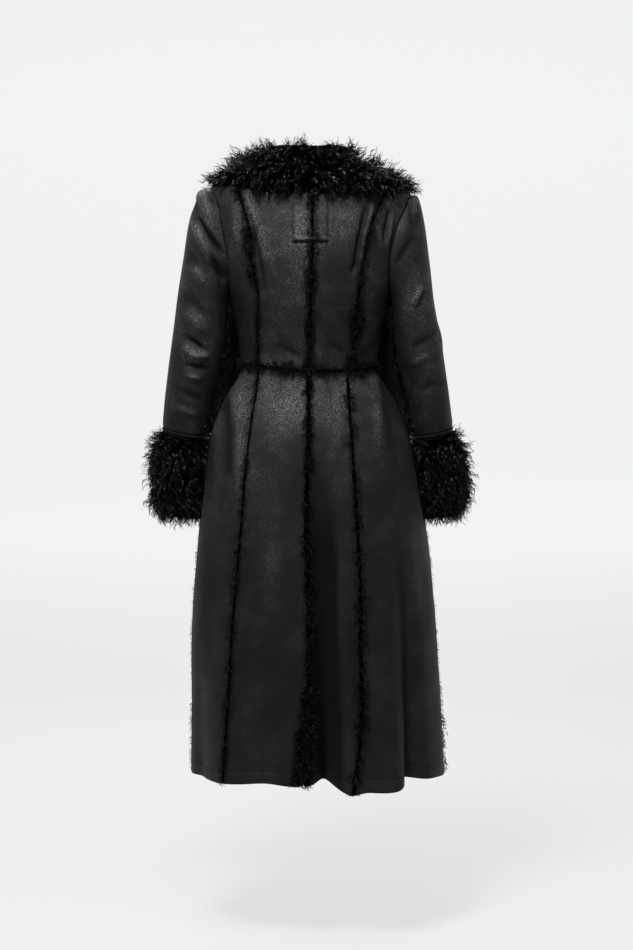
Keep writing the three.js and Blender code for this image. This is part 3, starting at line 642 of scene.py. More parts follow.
def line_relief(x, z, creases):
    total = np.zeros_like(x)
    for x1, z1, x2, z2, width, depth in creases:
        run, rise = x2 - x1, z2 - z1
        t = np.clip(((x - x1) * run + (z - z1) * rise) / (run * run + rise * rise), 0.0, 1.0)
        gap = np.hypot(x - x1 - t * run, z - z1 - t * rise)
        taper = 0.4 + 0.6 * np.sin(np.pi * (0.1 + 0.78 * t))
        total += depth * taper * bell(gap, 0.0, CREASE_WIDTH * width)
    return total


def soft_unevenness(x, z):
    """Hide never lies quite true: long, low waves under a millimetre high."""
    first = np.sin(x / 31.0 + 1.7 * np.sin(z / 83.0)) * np.sin(z / 52.0 + 0.9)
    second = np.sin(x / 17.0 + z / 41.0 + 2.1)
    return 0.75 * first + 0.3 * second


def facing_share(normals, way=1):
    """One where the cloth faces backward (1) or forward (-1), fading where it turns sideways."""
    return np.clip(way * normals[..., 1] * FACING_SHARPNESS, 0.0, 1.0)


def crease_relief(points, normals, behind=BODY_CREASES_BEHIND, before=BODY_CREASES_BEFORE,
                  strength=CREASE_STRENGTH):
    """Relief in millimetres."""
    x, z = points[..., 0], points[..., 2]
    creased = facing_share(normals) * line_relief(x, z, behind)
    creased = creased + facing_share(normals, -1) * line_relief(x, z, before)
    return strength * creased + soft_unevenness(x, z)


sample = line_relief(np.array([-100.0]), np.array([-150.0]), BODY_CREASES_BEHIND)
print("depth of the right back trough mm:", round(float(sample[0]), 1))

# %% Brushed places and painted highlights, as ovals seen from behind (1) or in front (-1)
BRUSHED_AND_HIGHLIGHTS = [
    [112, -110, 34, 56, 0.55, 1],
    [30, -110, 40, 50, 0.3, 1],
    [-60, -110, 60, 60, 0.42, 1],
    [22, -118, 12, 36, 0.3, 1],
    [42, -190, 36, 60, 0.3, 1],
    [128, -190, 20, 90, 0.1, 1],
    [60, -460, 62, 70, 0.62, 1],
    [-44, -450, 52, 70, 0.46, 1],
    [146, -480, 34, 90, 0.36, 1],
    [-130, -470, 44, 90, 0.14, 1],
    [-40, -640, 30, 120, 0.24, 1],
    [92, -700, 34, 120, 0.18, 1],
    [210, -100, 16, 50, 0.34, 1],
    [214, -160, 18, 40, 0.16, 1],
    [232, -290, 26, 60, 0.22, 1],
    [232, -380, 26, 26, 0.5, 1],
    [-216, -270, 26, 70, 0.4, 1],
    [-240, -360, 24, 60, 0.3, 1],
    [100, -150, 50, 70, 0.4, -1],
    [-100, -150, 50, 70, 0.4, -1],
    [90, -460, 60, 80, 0.45, -1],
    [-90, -460, 60, 80, 0.45, -1],
    [215, -150, 30, 80, 0.5, -1],
    [-212, -150, 30, 80, 0.5, -1],
]

# Wear of flat cloth, what a millimetre of relief adds to it, and the least that it can be:
# ridges get lighter, partly rubbed and partly painted highlight, and troughs sink below zero into painted
# shade.
FLAT_WEAR, RELIEF_WEAR_AND_SHADE, DARKEST_PAINTED_SHADE = 0.12, 0.09, -0.45
LOWEST_RELIEF, HIGHEST_RELIEF = -7.0, 5.0
BRUSH_AND_HIGHLIGHT_STRENGTH = 1.15
# Painted shade on the lower skirt, darker where less light falls: how much, from which level, over which
# length.
SKIRT_PAINTED_SHADE, FADE_LEVEL, FADE_LENGTH = 0.3, -520.0, 300.0
# Painted shade in troughs too deep for the light: angle, spread, level where they begin, level of full
# depth, share.
DEEP_FOLD_SHADE = [
    [-4.6, 6.2, -500, -860, 1.5],
    [-47.5, 3.2, -760, -1000, 0.9],
]


def deep_fold_shade(angles, levels):
    total = np.zeros_like(angles)
    for where, spread, start, full, strength in DEEP_FOLD_SHADE:
        reach = np.clip((start - levels) / (start - full), 0.0, 1.0)
        total = total + strength * reach * bell(np.degrees(angles), where, spread, 4)
    return total


# Share of rubbing and painted light at each point: wear and painted highlights raise it, painted shade in
# troughs and on the lower skirt takes it below zero.
def wear_and_painted_light_share(points, normals, relief):
    x, z = points[..., 0], points[..., 2]
    facing = np.sign(normals[..., 1])
    fade = SKIRT_PAINTED_SHADE * np.clip((FADE_LEVEL - z) / FADE_LENGTH, 0.0, 1.0)
    share = FLAT_WEAR + RELIEF_WEAR_AND_SHADE * np.clip(relief, LOWEST_RELIEF, HIGHEST_RELIEF) - fade
    for at_x, at_z, reach_x, reach_z, strength, side in BRUSHED_AND_HIGHLIGHTS:
        oval = bell(x, at_x, reach_x) * bell(z, at_z, reach_z)
        share = share + np.where(facing == side, BRUSH_AND_HIGHLIGHT_STRENGTH * strength * oval, 0.0)
    return np.clip(share, DARKEST_PAINTED_SHADE, 1.0)


print("brushed places:", len(BRUSHED_AND_HIGHLIGHTS))

# %% [markdown]
# ## Materials
# The hide is nearly black and dry to the touch: a fine cracked grain, a soft nap in cloudy patches
# and pale flecks, partly where the finish has rubbed off the high grain and partly painted glints
# where the light falls. Noise and cell textures on the object's own coordinates give all of it
# without an image, at its real scale. An attribute painted on the points says where rubbing and painted
# highlights are strongest and, below zero, where painted shade turns the cloth black in deep folds,
# troughs, the lower skirt and the sleeves' sides towards the body. Fur is dark with a dull gloss on each
# strand.

# %% Brushed hide
GRAIN_SCALE = 620.0
CRACK_SCALE = 330.0
FLECK_SCALE = 420.0
CLOUD_SCALE = 14.0
HIDE_DARK = (0.0026, 0.0026, 0.0028, 1.0)
HIDE_BRUSHED_AND_LIT = (0.015, 0.015, 0.0153, 1.0)
HIDE_FLECK_AND_GLINT = (0.27, 0.268, 0.264, 1.0)
BLACK = (0.0, 0.0, 0.0, 1.0)


def hide_material():
    shader = Shader("brushed_hide")
    math, place = shader.math, shader.here()
    grain = shader.noise(Vector=place, Scale=GRAIN_SCALE, Detail=3.0, Roughness=0.6)
    edges = {"feature": "DISTANCE_TO_EDGE"}
    cracks = shader.add("ShaderNodeTexVoronoi", edges, Vector=place, Scale=CRACK_SCALE)
    clouds = shader.noise(Vector=place, Scale=CLOUD_SCALE, Detail=7.0, Roughness=0.68)
    flecks = shader.noise(Vector=place, Scale=FLECK_SCALE, Detail=4.0, Roughness=0.75)
    wear = shader.add("ShaderNodeAttribute", {"attribute_name": "wear"}).outputs["Fac"]
    # Painted shade: below zero the share turns the base black and the surface rougher.
    deep = math("MINIMUM", math("MAXIMUM", math("MULTIPLY", wear, -1.0), 0.0), 1.0)
    cloud_share = shader.ramp(clouds, [(0.4, 0.0), (0.62, 1.0)])
    nap = math("MULTIPLY", math("MULTIPLY", cloud_share, 0.4), math("SUBTRACT", 1.0, deep))
    # Rubbed places and painted highlights lighten the base towards the brushed colour.
    rubbed_and_lit = math("ADD", math("MULTIPLY", math("MAXIMUM", wear, 0.0), 0.8), nap)
    rubbed_and_lit = math("MINIMUM", rubbed_and_lit, 1.0)
    # Pale flecks, partly rubbed grain and partly painted glints, show only where rubbing and painted
    # highlights are strong.
    fleck_high = shader.ramp(flecks, [(0.5, 0.0), (0.6, 1.0)])
    fleck_and_glint_share = math("MULTIPLY", fleck_high, math("MULTIPLY", rubbed_and_lit, rubbed_and_lit))
    flecked = shader.blend(fleck_and_glint_share, shader.blend(rubbed_and_lit, HIDE_DARK, HIDE_BRUSHED_AND_LIT), HIDE_FLECK_AND_GLINT)
    dull = math("SUBTRACT", 0.62, math("MULTIPLY", fleck_and_glint_share, 0.2))
    dull = math("SUBTRACT", dull, math("MULTIPLY", rubbed_and_lit, 0.06))
    height = math("MULTIPLY", shader.ramp(cracks.outputs["Distance"], [(0.0, 0.0), (0.12, 1.0)]), 0.7)
    height = math("ADD", height, grain)
    height = math("ADD", height, math("MULTIPLY", flecks, 1.1))
    bump = shader.add("ShaderNodeBump", Strength=0.75, Distance=0.0006, Height=height)
    return shader.finish({
        "Base Color": shader.blend(deep, flecked, BLACK),
        "Roughness": math("ADD", dull, math("MULTIPLY", deep, 0.4)),
        "Normal": bump.outputs["Normal"],
        "Specular IOR Level": 0.36,
    })


hide = hide_material()
print("hide nodes:", len(hide.node_tree.nodes))

# %% Short pile inside, shiny piping, fur and thread
PILE_DARK = (0.002, 0.002, 0.0021, 1.0)
PILE_LIGHT = (0.009, 0.009, 0.0094, 1.0)
FUR_DARK = (0.0012, 0.0012, 0.0013, 1.0)
FUR_LIGHT = (0.01, 0.01, 0.0105, 1.0)
ROOTS_DARK = (0.0006, 0.0006, 0.0006, 1.0)
ROOTS_LIGHT = (0.002, 0.002, 0.002, 1.0)
THREAD_DARK = (0.01, 0.01, 0.01, 1.0)
THREAD_LIGHT = (0.05, 0.05, 0.05, 1.0)


def tufted_material(name, dark, light, scale, roughness, specular, depth):
    """Dark tufts: a cloudy base with a finer noise for single hairs."""
    shader = Shader(name)
    place = shader.here()
    tufts = shader.noise(Vector=place, Scale=scale, Detail=5.0, Roughness=0.7)
    hairs = shader.noise(Vector=place, Scale=scale * 7.0, Detail=2.0)
    share = shader.math("MULTIPLY", shader.ramp(tufts, [(0.4, 0.0), (0.7, 1.0)]), hairs)
    height = shader.math("ADD", tufts, hairs)
    bump = shader.add("ShaderNodeBump", Strength=0.8, Distance=depth, Height=height)
    return shader.finish({
        "Base Color": shader.blend(share, dark, light), "Roughness": roughness,
        "Specular IOR Level": specular, "Normal": bump.outputs["Normal"],
    })


def piping_material():
    """A narrow smooth edge where the hide is pressed and catches the light."""
    shader = Shader("pressed_edge")
    grain = shader.noise(Vector=shader.here(), Scale=GRAIN_SCALE, Detail=3.0)
    bump = shader.add("ShaderNodeBump", Strength=0.25, Distance=0.0003, Height=grain)
    return shader.finish({
        "Base Color": shader.ramp(grain, [(0.3, 0.003), (0.7, 0.007)]),
        "Roughness": shader.math("ADD", shader.math("MULTIPLY", grain, 0.2), 0.36),
        "Normal": bump.outputs["Normal"],
    })


pile = tufted_material("lining_pile", PILE_DARK, PILE_LIGHT, 160.0, 0.9, 0.2, 0.002)
fur = tufted_material("curly_fur", FUR_DARK, FUR_LIGHT, 90.0, 0.36, 0.34, 0.0004)
short_fur = tufted_material("short_fur", FUR_DARK, FUR_LIGHT, 90.0, 0.6, 0.22, 0.0004)
roots = tufted_material("fur_roots", ROOTS_DARK, ROOTS_LIGHT, 220.0, 1.0, 0.0, 0.002)
piping = piping_material()
thread = tufted_material("sewing_thread", THREAD_DARK, THREAD_LIGHT, 900.0, 0.6, 0.4, 0.0002)
print("materials:", ", ".join(m.name for m in (hide, pile, fur, short_fur, roots, piping, thread)))

# %% [markdown]
# ## Cloth panels
# Each cut panel is a thin closed wall: a fine grid of outer points, the same points one wall inward,
# and a narrow face round the edge. The grid comes from the coat's surface between two seam lines,
# moved in or out by the creases. Neighbours share the same surface, so they meet at the seams
# with the small gap that sewing leaves. The outside gets the hide and the inside the pile.

# %% Closed wall from two grids of points
def grid_quads(index):
    corners = [index[:-1, :-1], index[1:, :-1], index[1:, 1:], index[:-1, 1:]]
    return np.stack([corner.ravel() for corner in corners], axis=1)


def strip_quads(first, second):
    return np.stack([first[:-1], second[:-1], second[1:], first[1:]], axis=1)


def grid_index(rows, columns, round_rows=False, round_columns=False):
    """Number of each point of a grid, with the first row or column again where it closes."""
    index = np.arange(rows * columns).reshape(rows, columns)
    if round_columns:
        index = np.hstack([index, index[:, :1]])
    return np.vstack([index, index[:1]]) if round_rows else index


def grid_mesh(name, grid, index, caps=()):
    mesh = bpy.data.meshes.new(name)
    mesh.from_pydata((grid.reshape(-1, 3) * MM).tolist(), [], grid_quads(index).tolist() + list(caps))
    return mesh


def signed_volume(points, quads):
    a, b, c, d = (points[quads[:, k]] for k in range(4))
    return float((np.cross(b, c) * a).sum() + (np.cross(c, d) * a).sum()) / 6.0


def wall_faces(rows, columns, closed):
    """Faces of a wall and, for each, the material: 0 outside and round the edge, 1 inside."""
    outer = grid_index(rows, columns, round_columns=closed)
    inner = outer + rows * columns
    faces = [grid_quads(outer), grid_quads(inner)[:, ::-1]]
    faces.append(strip_quads(inner[0], outer[0]))
    faces.append(strip_quads(outer[-1], inner[-1]))
    if not closed:
        faces.append(strip_quads(outer[:, 0], inner[:, 0]))
        faces.append(strip_quads(inner[:, -1], outer[:, -1]))
    count = len(faces[0])
    kinds = np.zeros(sum(len(group) for group in faces), dtype=int)
    kinds[count:2 * count] = 1
    return np.concatenate(faces), kinds


def wall_mesh(name, outer, inner, wear, closed=False):
    rows, columns = outer.shape[:2]
    points = np.concatenate([outer.reshape(-1, 3), inner.reshape(-1, 3)]) * MM
    faces, kinds = wall_faces(rows, columns, closed)
    if signed_volume(points, faces) < 0:
        faces = faces[:, ::-1]
    mesh = bpy.data.meshes.new(name)
    mesh.from_pydata(points.tolist(), [], faces.tolist())
    mesh.materials.append(hide)
    mesh.materials.append(pile)
    mesh.polygons.foreach_set("material_index", kinds)
    # Rubbing and painted light for the hide's shader, the same on the outside and inside points.
    layer = mesh.attributes.new("wear", "FLOAT", "POINT")
    layer.data.foreach_set("value", np.tile(wear.ravel(), 2))
    mesh.shade_smooth()
    mesh.set_sharp_from_angle(angle=np.radians(55.0))
    return mesh


print("quads of a 3 x 3 wall:", len(wall_faces(3, 3, False)[0]))


# %% Placing a finished piece and measuring its cut
def add_piece(name, mesh, node):
    """Put a mesh in the scene at the origin, in place of the plain solid of the same piece."""
    piece = linked(name, mesh)
    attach(piece, BODY_NAME)
    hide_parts(node)
    return piece


def flat_cut(grid):
    """Width, length and area of the cut in metres, from the wall's outside before its creases."""
    across = np.linalg.norm(np.diff(grid, axis=1), axis=2)
    down = np.linalg.norm(np.diff(grid, axis=0), axis=2)
    a = grid[1:, 1:] - grid[:-1, :-1]
    b = grid[1:, :-1] - grid[:-1, 1:]
    area = np.linalg.norm(np.cross(a, b), axis=2).sum() / 2.0
    width, length = across.sum(axis=1).max(), down.sum(axis=0).max()
    return float(width * MM), float(length * MM), float(area * MM * MM)


def declare_cloth(piece, grid, rests_on):
    width, length, area = flat_cut(grid)
    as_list(rests_on)
    return f"{piece.name}: {width:.3f} x {length:.3f} m, {area:.3f} m2"


print("pieces ride on", BODY_NAME)

# %% Rows of the panels and small made features
ARM_PARTS = 60
ARM_PINCH, ARM_PINCH_REACH = 2.4, 5.0
SHOULDER_ROWS = np.linspace(-1.5, SHOULDER_TIP, 22)[:-1]
LOWER_ROWS = np.linspace(ARMPIT, WAIST + SEAM_HALF_GAP, 18)[1:]
HEM_LINE = -1204.0
HEM_BAND, HEM_LINE_DEPTH, HEM_LINE_WIDTH = 0.9, 0.8, 1.3
HEM_ROWS = HEM_LINE + np.array([4.0, 2.0, 0.7, -0.8, -2.5, -6.0, -11.0, -16.0, -20.0, -22.6, -24.0])
SKIRT_ROWS = np.concatenate([np.linspace(WAIST - SEAM_HALF_GAP, HEM_LINE + 6.0, 108), HEM_ROWS])
PLATE_LEFT, PLATE_RIGHT, PLATE_BOTTOM = 34.0, -36.0, -160.0
PLATE_RAISED, PLATE_GROOVE, PLATE_GROOVE_WIDTH = 0.8, 2.8, 2.6
TUCK_DEPTH, TUCK_WIDTH = 4.2, 2.8
LIP_HEIGHT, LIP_ABOVE, LIP_WIDTH = 2.0, 6.5, 4.0
# Side panels begin here, and above the next level the shoulders slope, so gaps are doubled.
SIDE_PANEL_TOP, SLOPE_END = -17.0, -70.0
# Share of the outside's creases that the inside follows.
INNER_SHARE = 0.8


def arm_level(share):
    middle, reach = (SHOULDER_TIP + ARMPIT) / 2.0, (SHOULDER_TIP - ARMPIT) / 2.0
    return middle + reach * np.cos(np.pi * share)


ARM_ROWS = arm_level(np.arange(ARM_PARTS + 1) / ARM_PARTS)
BODICE_ROWS = np.concatenate([SHOULDER_ROWS, ARM_ROWS, LOWER_ROWS])
BACK_ROWS = np.concatenate([
    np.linspace(-1.5, -140.0, 54)[:-1], np.linspace(-140.0, -176.0, 25)[:-1],
    np.linspace(-176.0, WAIST + SEAM_HALF_GAP, 60),
])


def hem_relief(z):
    """The hem is turned up once: a slightly thicker band below a sewn line, with a soft edge."""
    band = HEM_BAND / (1.0 + np.exp((z - HEM_LINE + 2.0) / 0.8))
    line = -HEM_LINE_DEPTH * bell(z, HEM_LINE, HEM_LINE_WIDTH)
    edge = -bell(z, HEM, 2.0)
    return band + line + edge


def plate_relief(x, z, normals):
    """Sewn-down oblong under the collar: fine grooves at its sides, a puckered tuck below."""
    tall = 1.0 / (1.0 + np.exp((PLATE_BOTTOM - z) / 1.5))
    sides = bell(x, PLATE_LEFT, PLATE_GROOVE_WIDTH) + bell(x, PLATE_RIGHT, PLATE_GROOVE_WIDTH)
    middle, half = (PLATE_LEFT + PLATE_RIGHT) / 2.0, (PLATE_LEFT - PLATE_RIGHT) / 2.0
    wide = 1.0 / (1.0 + np.exp(np.abs(x - middle) - half))
    pucker = 1.0 + 0.5 * np.sin(x / 2.1)
    tuck = -TUCK_DEPTH * pucker * bell(z, PLATE_BOTTOM, TUCK_WIDTH)
    lip = LIP_HEIGHT * bell(z, PLATE_BOTTOM + LIP_ABOVE, LIP_WIDTH)
    flat = (PLATE_RAISED * wide - PLATE_GROOVE * sides) * tall
    return facing_share(normals) * (flat + (tuck + lip) * wide)


print("rows of bodice and skirt:", len(BODICE_ROWS), len(SKIRT_ROWS))


# %% One panel between two seam lines
def panel_grid(rows, start, end, parts):
    slant = np.where(rows > SLOPE_END, 2.0, 1.0)
    first, last = start["edge"](rows), end["edge"](rows)
    first = first + slant * start["gap"] / stretch(first, rows)
    last = last - slant * end["gap"] / stretch(last, rows)
    share = np.linspace(0.0, 1.0, parts + 1)
    angles = first[:, None] + (last - first)[:, None] * share
    return angles, np.broadcast_to(rows[:, None], angles.shape)


def seam_pinch(angles, rows, arm_seam):
    """Cloth dips where the armhole's seam pulls it in."""
    far = np.abs(angles - arm_seam(rows[:, 0])[:, None]) * stretch(angles, rows)
    return -ARM_PINCH * bell(far, 0.0, ARM_PINCH_REACH)


def add_panel(name, rows, start, end, parts, rests_on, arm_seam=None):
    angles, levels = panel_grid(rows, start, end, parts)
    plain = surface(angles, levels)
    normals = surface_ways(angles, levels)[2]
    relief = crease_relief(plain, normals)
    if arm_seam is not None:
        near_arm = (levels < SHOULDER_TIP + 1.0) & (levels > ARMPIT - 1.0)
        relief = relief + np.where(near_arm, seam_pinch(angles, levels, arm_seam), 0.0)
    relief = relief + hem_relief(levels) + plate_relief(plain[..., 0], plain[..., 2], normals)
    outer = plain + normals * relief[..., None]
    inner = plain + normals * (INNER_SHARE * relief - WALL)[..., None]
    # Rubbing and painted highlights, less painted shade in the deepest folds.
    wear = wear_and_painted_light_share(plain, normals, relief) - deep_fold_shade(angles, levels)
    mesh = wall_mesh(name, outer, inner, wear)
    piece = add_piece("hide_" + name, mesh, name)
    return declare_cloth(piece, plain, rests_on)


def seam(edge, side, gap=SEAM_HALF_GAP, **options):
    return {"edge": lambda z: edge(side, z, **options), "gap": gap}


def left_to_right(side, near_centre, farther):
    """Panels run from the smaller angle to the larger one, so the right side is turned round."""
    return (near_centre, farther) if side > 0 else (farther, near_centre)


print("skirt rows apart mm:", round(float(SKIRT_ROWS[0] - SKIRT_ROWS[1]), 2))

# %% All twelve body panels
SIDES = {"left": 1, "right": -1}
PARTS = {"bodice_back": 52, "bodice_side": 22, "bodice_front": 34}
SKIRT_PARTS = {
    "left": {"skirt_back": 24, "skirt_side": 26, "skirt_front": 44},
    "right": {"skirt_back": 28, "skirt_side": 38, "skirt_front": 44},
}


def add_bodice(name, side):
    side_rows = BODICE_ROWS[BODICE_ROWS <= SIDE_PANEL_TOP]
    centre, side_back = seam(centre_back_edge, side), seam(side_back_edge, side)
    behind, before = seam(armhole_edge, side, on_front=False), seam(armhole_edge, side, on_front=True)
    front = seam(centre_front_edge, side, gap=0.0)
    jobs = [
        ("bodice_back", BACK_ROWS, left_to_right(side, centre, side_back), None),
        ("bodice_side", side_rows, left_to_right(side, side_back, behind), behind["edge"]),
        ("bodice_front", BODICE_ROWS, left_to_right(side, before, front), before["edge"]),
    ]
    for part, rows, ends, arm_seam in jobs:
        print(add_panel(f"{part}_{name}", rows, *ends, PARTS[part], [], arm_seam))


def add_skirt(name, side):
    centre, side_back = seam(centre_back_edge, side), seam(side_back_edge, side)
    at_side, front = seam(side_edge, side), seam(centre_front_edge, side, gap=0.0)
    jobs = [
        ("skirt_back", left_to_right(side, centre, side_back), "bodice_back"),
        ("skirt_side", left_to_right(side, side_back, at_side), "bodice_side"),
        ("skirt_front", left_to_right(side, at_side, front), "bodice_front"),
    ]
    for part, ends, above in jobs:
        parts = SKIRT_PARTS[name][part]
        print(add_panel(f"{part}_{name}", SKIRT_ROWS, *ends, parts, [f"{above}_{name}"]))


for name, side in SIDES.items():
    add_bodice(name, side)
    add_skirt(name, side)

# %% [markdown]
# ## Sleeves
# A sleeve is a bent tube. Its rings start on the armhole's own outline and turn into tilted ovals
# further down, so the seam with the bodice stays true. The elbow folds into a few short
# crescents behind and deeper ones in front. The end is turned in over a cord, which shows
# as a thin shiny edge above the fur.

# %% Sleeve rings
SLEEVE_COLUMNS = 2 * ARM_PARTS
SLEEVE = Table(["step", "left", "right", "out_z", "inside", "in_z", "y", "depth", "tilt", "share", "full"], [
    [0, 203, 203, -55, 162, -272, -6, 72, 0, 1, 0],
    [1, 233, 218, -66, 163, -283, -2, 71, 0, 0.6, 0],
    [2, 246, 232, -118, 163.5, -296, -3, 70, 0, 0.25, 18],
    [3, 257, 241, -185, 164, -315, -5, 68, 0, 0, 34],
    [4, 269, 251, -262, 166, -345, -9, 64, 0, 0, 52],
    [5, 281, 266, -345, 171, -392, -18, 60, 1, 0, 62],
    [6, 291, 278, -425, 182, -440, -30, 57, 3, 0, 60],
    [7, 299, 288, -490, 196, -492, -42, 54, 5, 0, 36],
    [7.7, 302, 292, -520, 205, -535, -50, 52, 7, 0, 12],
    [7.78, 302, 292, -524, 206, -540, -51, 52, 7, 0, 9],
    [8, 303, 293, -532, 209, -552, -54, 51, 8, 0, 7],
])
FULLEST_TURN, FULL_SPREAD = 240.0, 37.0
SLEEVE_END = 8.0
WELT_STEP, WELT_HEIGHT, WELT_SPREAD = 7.86, 1.6, 0.025
GROOVE_STEP, GROOVE_DEPTH, GROOVE_SPREAD = 7.8, 1.6, 0.03
TURNED_IN_STEP, TURNED_IN_SHADE, SMOOTH_END = 7.74, 0.7, 0.25
BODY_SIDE_TURN, BODY_SIDE_SPREAD, BODY_SIDE_SHADE = 225.0, 52.0, 1.4
SLEEVE_INNER_SHARE = 0.6
# Fullness of the sleeve head on each side: step, reach, height.
SLEEVE_HEAD = {1: [(0.5, 0.35, 7.0), (1.25, 0.4, -6.0)], -1: [(0.6, 0.4, 3.0)]}
END_STEPS = np.array([7.6, 7.66, 7.7, 7.73, 7.76, 7.79, 7.82, 7.86, 7.9, 7.93, 7.96, 8.0])
SLEEVE_STEPS = np.concatenate([np.linspace(0.0, 7.5, 108), END_STEPS])
TURNS = 2.0 * np.pi * np.arange(SLEEVE_COLUMNS) / SLEEVE_COLUMNS


def ring_point(source, side, step, turn, extra=0.0):
    """Point of a tilted oval round the arm: turn 0 is the outermost point, then behind, inside, front."""
    out = source.at(side_name(side), step)
    values = {name: source.at(name, step) for name in ("out_z", "inside", "in_z", "y", "depth", "tilt")}
    wide = np.stack([out - values["inside"], values["out_z"] - values["in_z"]], axis=-1)
    half = np.linalg.norm(wide, axis=-1) / 2.0
    way = unit(wide)
    across = (half + extra) * np.cos(turn)
    x = side * ((out + values["inside"]) / 2.0 + across * way[..., 0])
    y = values["y"] + (values["depth"] + extra) * np.sin(turn)
    middle_z = (values["out_z"] + values["in_z"]) / 2.0
    z = middle_z + across * way[..., 1] - values["tilt"] * np.sin(turn)
    return np.stack([x, y, z], axis=-1)


def armhole_loop(side):
    """Points round the armhole and the way out of the body at each."""
    column = np.arange(SLEEVE_COLUMNS)
    row = np.where(column <= ARM_PARTS, column, SLEEVE_COLUMNS - column)
    z = ARM_ROWS[row]
    behind, before = armhole_edge(side, z, False), armhole_edge(side, z, True)
    angle = np.where(column <= ARM_PARTS, behind, before)
    loop = surface(angle, z)
    loop[:, 0] += side * ARMHOLE_GAP
    return loop, surface_ways(angle, z)[2]


def sleeve_rings(side, steps):
    step, turn = np.meshgrid(steps, TURNS, indexing="ij")
    shift = armhole_loop(side)[0] - ring_point(SLEEVE, side, np.zeros(SLEEVE_COLUMNS), TURNS)
    share = SLEEVE.at("share", step)[..., None]
    rings = ring_point(SLEEVE, side, step, turn) + share * shift
    rings[..., 0] -= side * SLEEVE.at("full", step) * bell(np.degrees(turn), FULLEST_TURN, FULL_SPREAD)
    return rings


def ring_normals(rings, side):
    around = np.roll(rings, -1, axis=1) - np.roll(rings, 1, axis=1)
    along = np.gradient(rings, axis=0)
    return unit(np.cross(along, around) * side)


print("sleeve round at the elbow mm:", round(float(flat_cut(sleeve_rings(1, SLEEVE_STEPS))[0] * 1000)))


# %% Both sleeves
def sleeve_relief(rings, normals, steps, side):
    relief = crease_relief(rings, normals, SLEEVE_CREASES_BEHIND, SLEEVE_CREASES_BEFORE, SLEEVE_STRENGTH)
    near_end = bell(steps, SLEEVE_END, SMOOTH_END)[:, None]
    welt = WELT_HEIGHT * bell(steps, WELT_STEP, WELT_SPREAD)
    groove = -GROOVE_DEPTH * bell(steps, GROOVE_STEP, GROOVE_SPREAD)
    upper = np.clip(np.cos(TURNS), 0.0, 1.0) ** 2
    head = sum(height * bell(steps, at, reach) for at, reach, height in SLEEVE_HEAD[side])
    return relief * (1.0 - near_end) + head[:, None] * upper + (welt + groove)[:, None]


def sleeve_walls(rings, normals, relief, side):
    """Outside and inside; at the armhole both dip with the bodice, into the body."""
    from_armhole = np.linalg.norm(rings - rings[:1], axis=-1)
    near = bell(from_armhole, 0.0, ARM_PINCH_REACH)[..., None]
    dip = armhole_loop(side)[1][None] * ARM_PINCH * near
    calm = relief[..., None] * (1.0 - near)
    inner = rings - normals * WALL + normals * SLEEVE_INNER_SHARE * calm - dip
    return rings + normals * calm - dip, inner


def add_sleeve(name, side):
    rings = sleeve_rings(side, SLEEVE_STEPS)
    normals = ring_normals(rings, side)
    relief = sleeve_relief(rings, normals, SLEEVE_STEPS, side)
    outer, inner = sleeve_walls(rings, normals, relief, side)
    # Painted shade on the side that faces the body and on the turned-in end, taken off the share of rubbing
    # and painted light.
    facing_body = bell(np.degrees(TURNS), BODY_SIDE_TURN, BODY_SIDE_SPREAD, 4)[None, :]
    shaded = BODY_SIDE_SHADE * facing_body * np.clip(SLEEVE_STEPS - 0.5, 0.0, 1.0)[:, None]
    turned_in = TURNED_IN_SHADE * np.clip((SLEEVE_STEPS - TURNED_IN_STEP) / 0.05, 0.0, 1.0)[:, None]
    wear = wear_and_painted_light_share(rings, normals, relief) - shaded - turned_in
    mesh = wall_mesh("sleeve_" + name, outer, inner, wear, closed=True)
    mesh.materials.append(piping)
    first = int(np.searchsorted(SLEEVE_STEPS, WELT_STEP - WELT_SPREAD))
    last = int(np.searchsorted(SLEEVE_STEPS, WELT_STEP + WELT_SPREAD))
    kinds = np.zeros(len(mesh.polygons), dtype=int)
    mesh.polygons.foreach_get("material_index", kinds)
    kinds[first * SLEEVE_COLUMNS:last * SLEEVE_COLUMNS] = 2
    mesh.polygons.foreach_set("material_index", kinds)
    piece = add_piece("hide_sleeve_" + name, mesh, "sleeve_" + name)
    round_it = np.concatenate([rings, rings[:, :1]], axis=1)
    above = [f"bodice_side_{name}", f"bodice_front_{name}"]
    print(declare_cloth(piece, round_it, above))


for name, side in SIDES.items():
    add_sleeve(name, side)

# %% [markdown]
# ## Curly fur
# The fur is long curly pile in pointed locks. Particle hair would not survive as a mesh, and one
# bumpy tube would look like rope. So a few locks are modelled once, each a handful of thin wavy
# strands that draw together at the tip, and Geometry Nodes scatter turned, scaled copies over
# a guide surface. The guide carries two attributes: which way the pile is combed, and its length.

# %% Lock shapes
LONG_LOCK = {"strands": 3, "steps": 10, "spread": 0.042, "curl": 0.082, "bends": 2.1, "width": 0.062}
SHORT_LOCK = {"strands": 3, "steps": 6, "spread": 0.15, "curl": 0.13, "bends": 1.5, "width": 0.1}
LOCK_KINDS = 5


def strand(rng, shape, lean, phase):
    """Centre points and widths of one wavy strand, one unit long."""
    t = np.linspace(0.0, 1.0, shape["steps"] + 1)
    root = rng.normal(0.0, shape["spread"], 2)
    own_phase = phase + rng.uniform(-0.5, 0.5)
    swing = shape["curl"] * rng.uniform(0.7, 1.3) * (0.25 + 0.75 * t)
    turn = 2.0 * np.pi * shape["bends"] * t + own_phase
    together = 1.0 - 0.8 * t
    x = root[0] * together + lean * t * t + swing * (np.sin(turn) - np.sin(own_phase) * (1.0 - t))
    y = root[1] * together + swing * (np.cos(turn) - np.cos(own_phase) * (1.0 - t))
    z = rng.uniform(0.72, 1.0) * t
    width = shape["width"] * rng.uniform(0.8, 1.2) * (1.0 - t) ** 0.6
    return np.stack([x, y, z], axis=1), width, rng.uniform(0.0, np.pi)


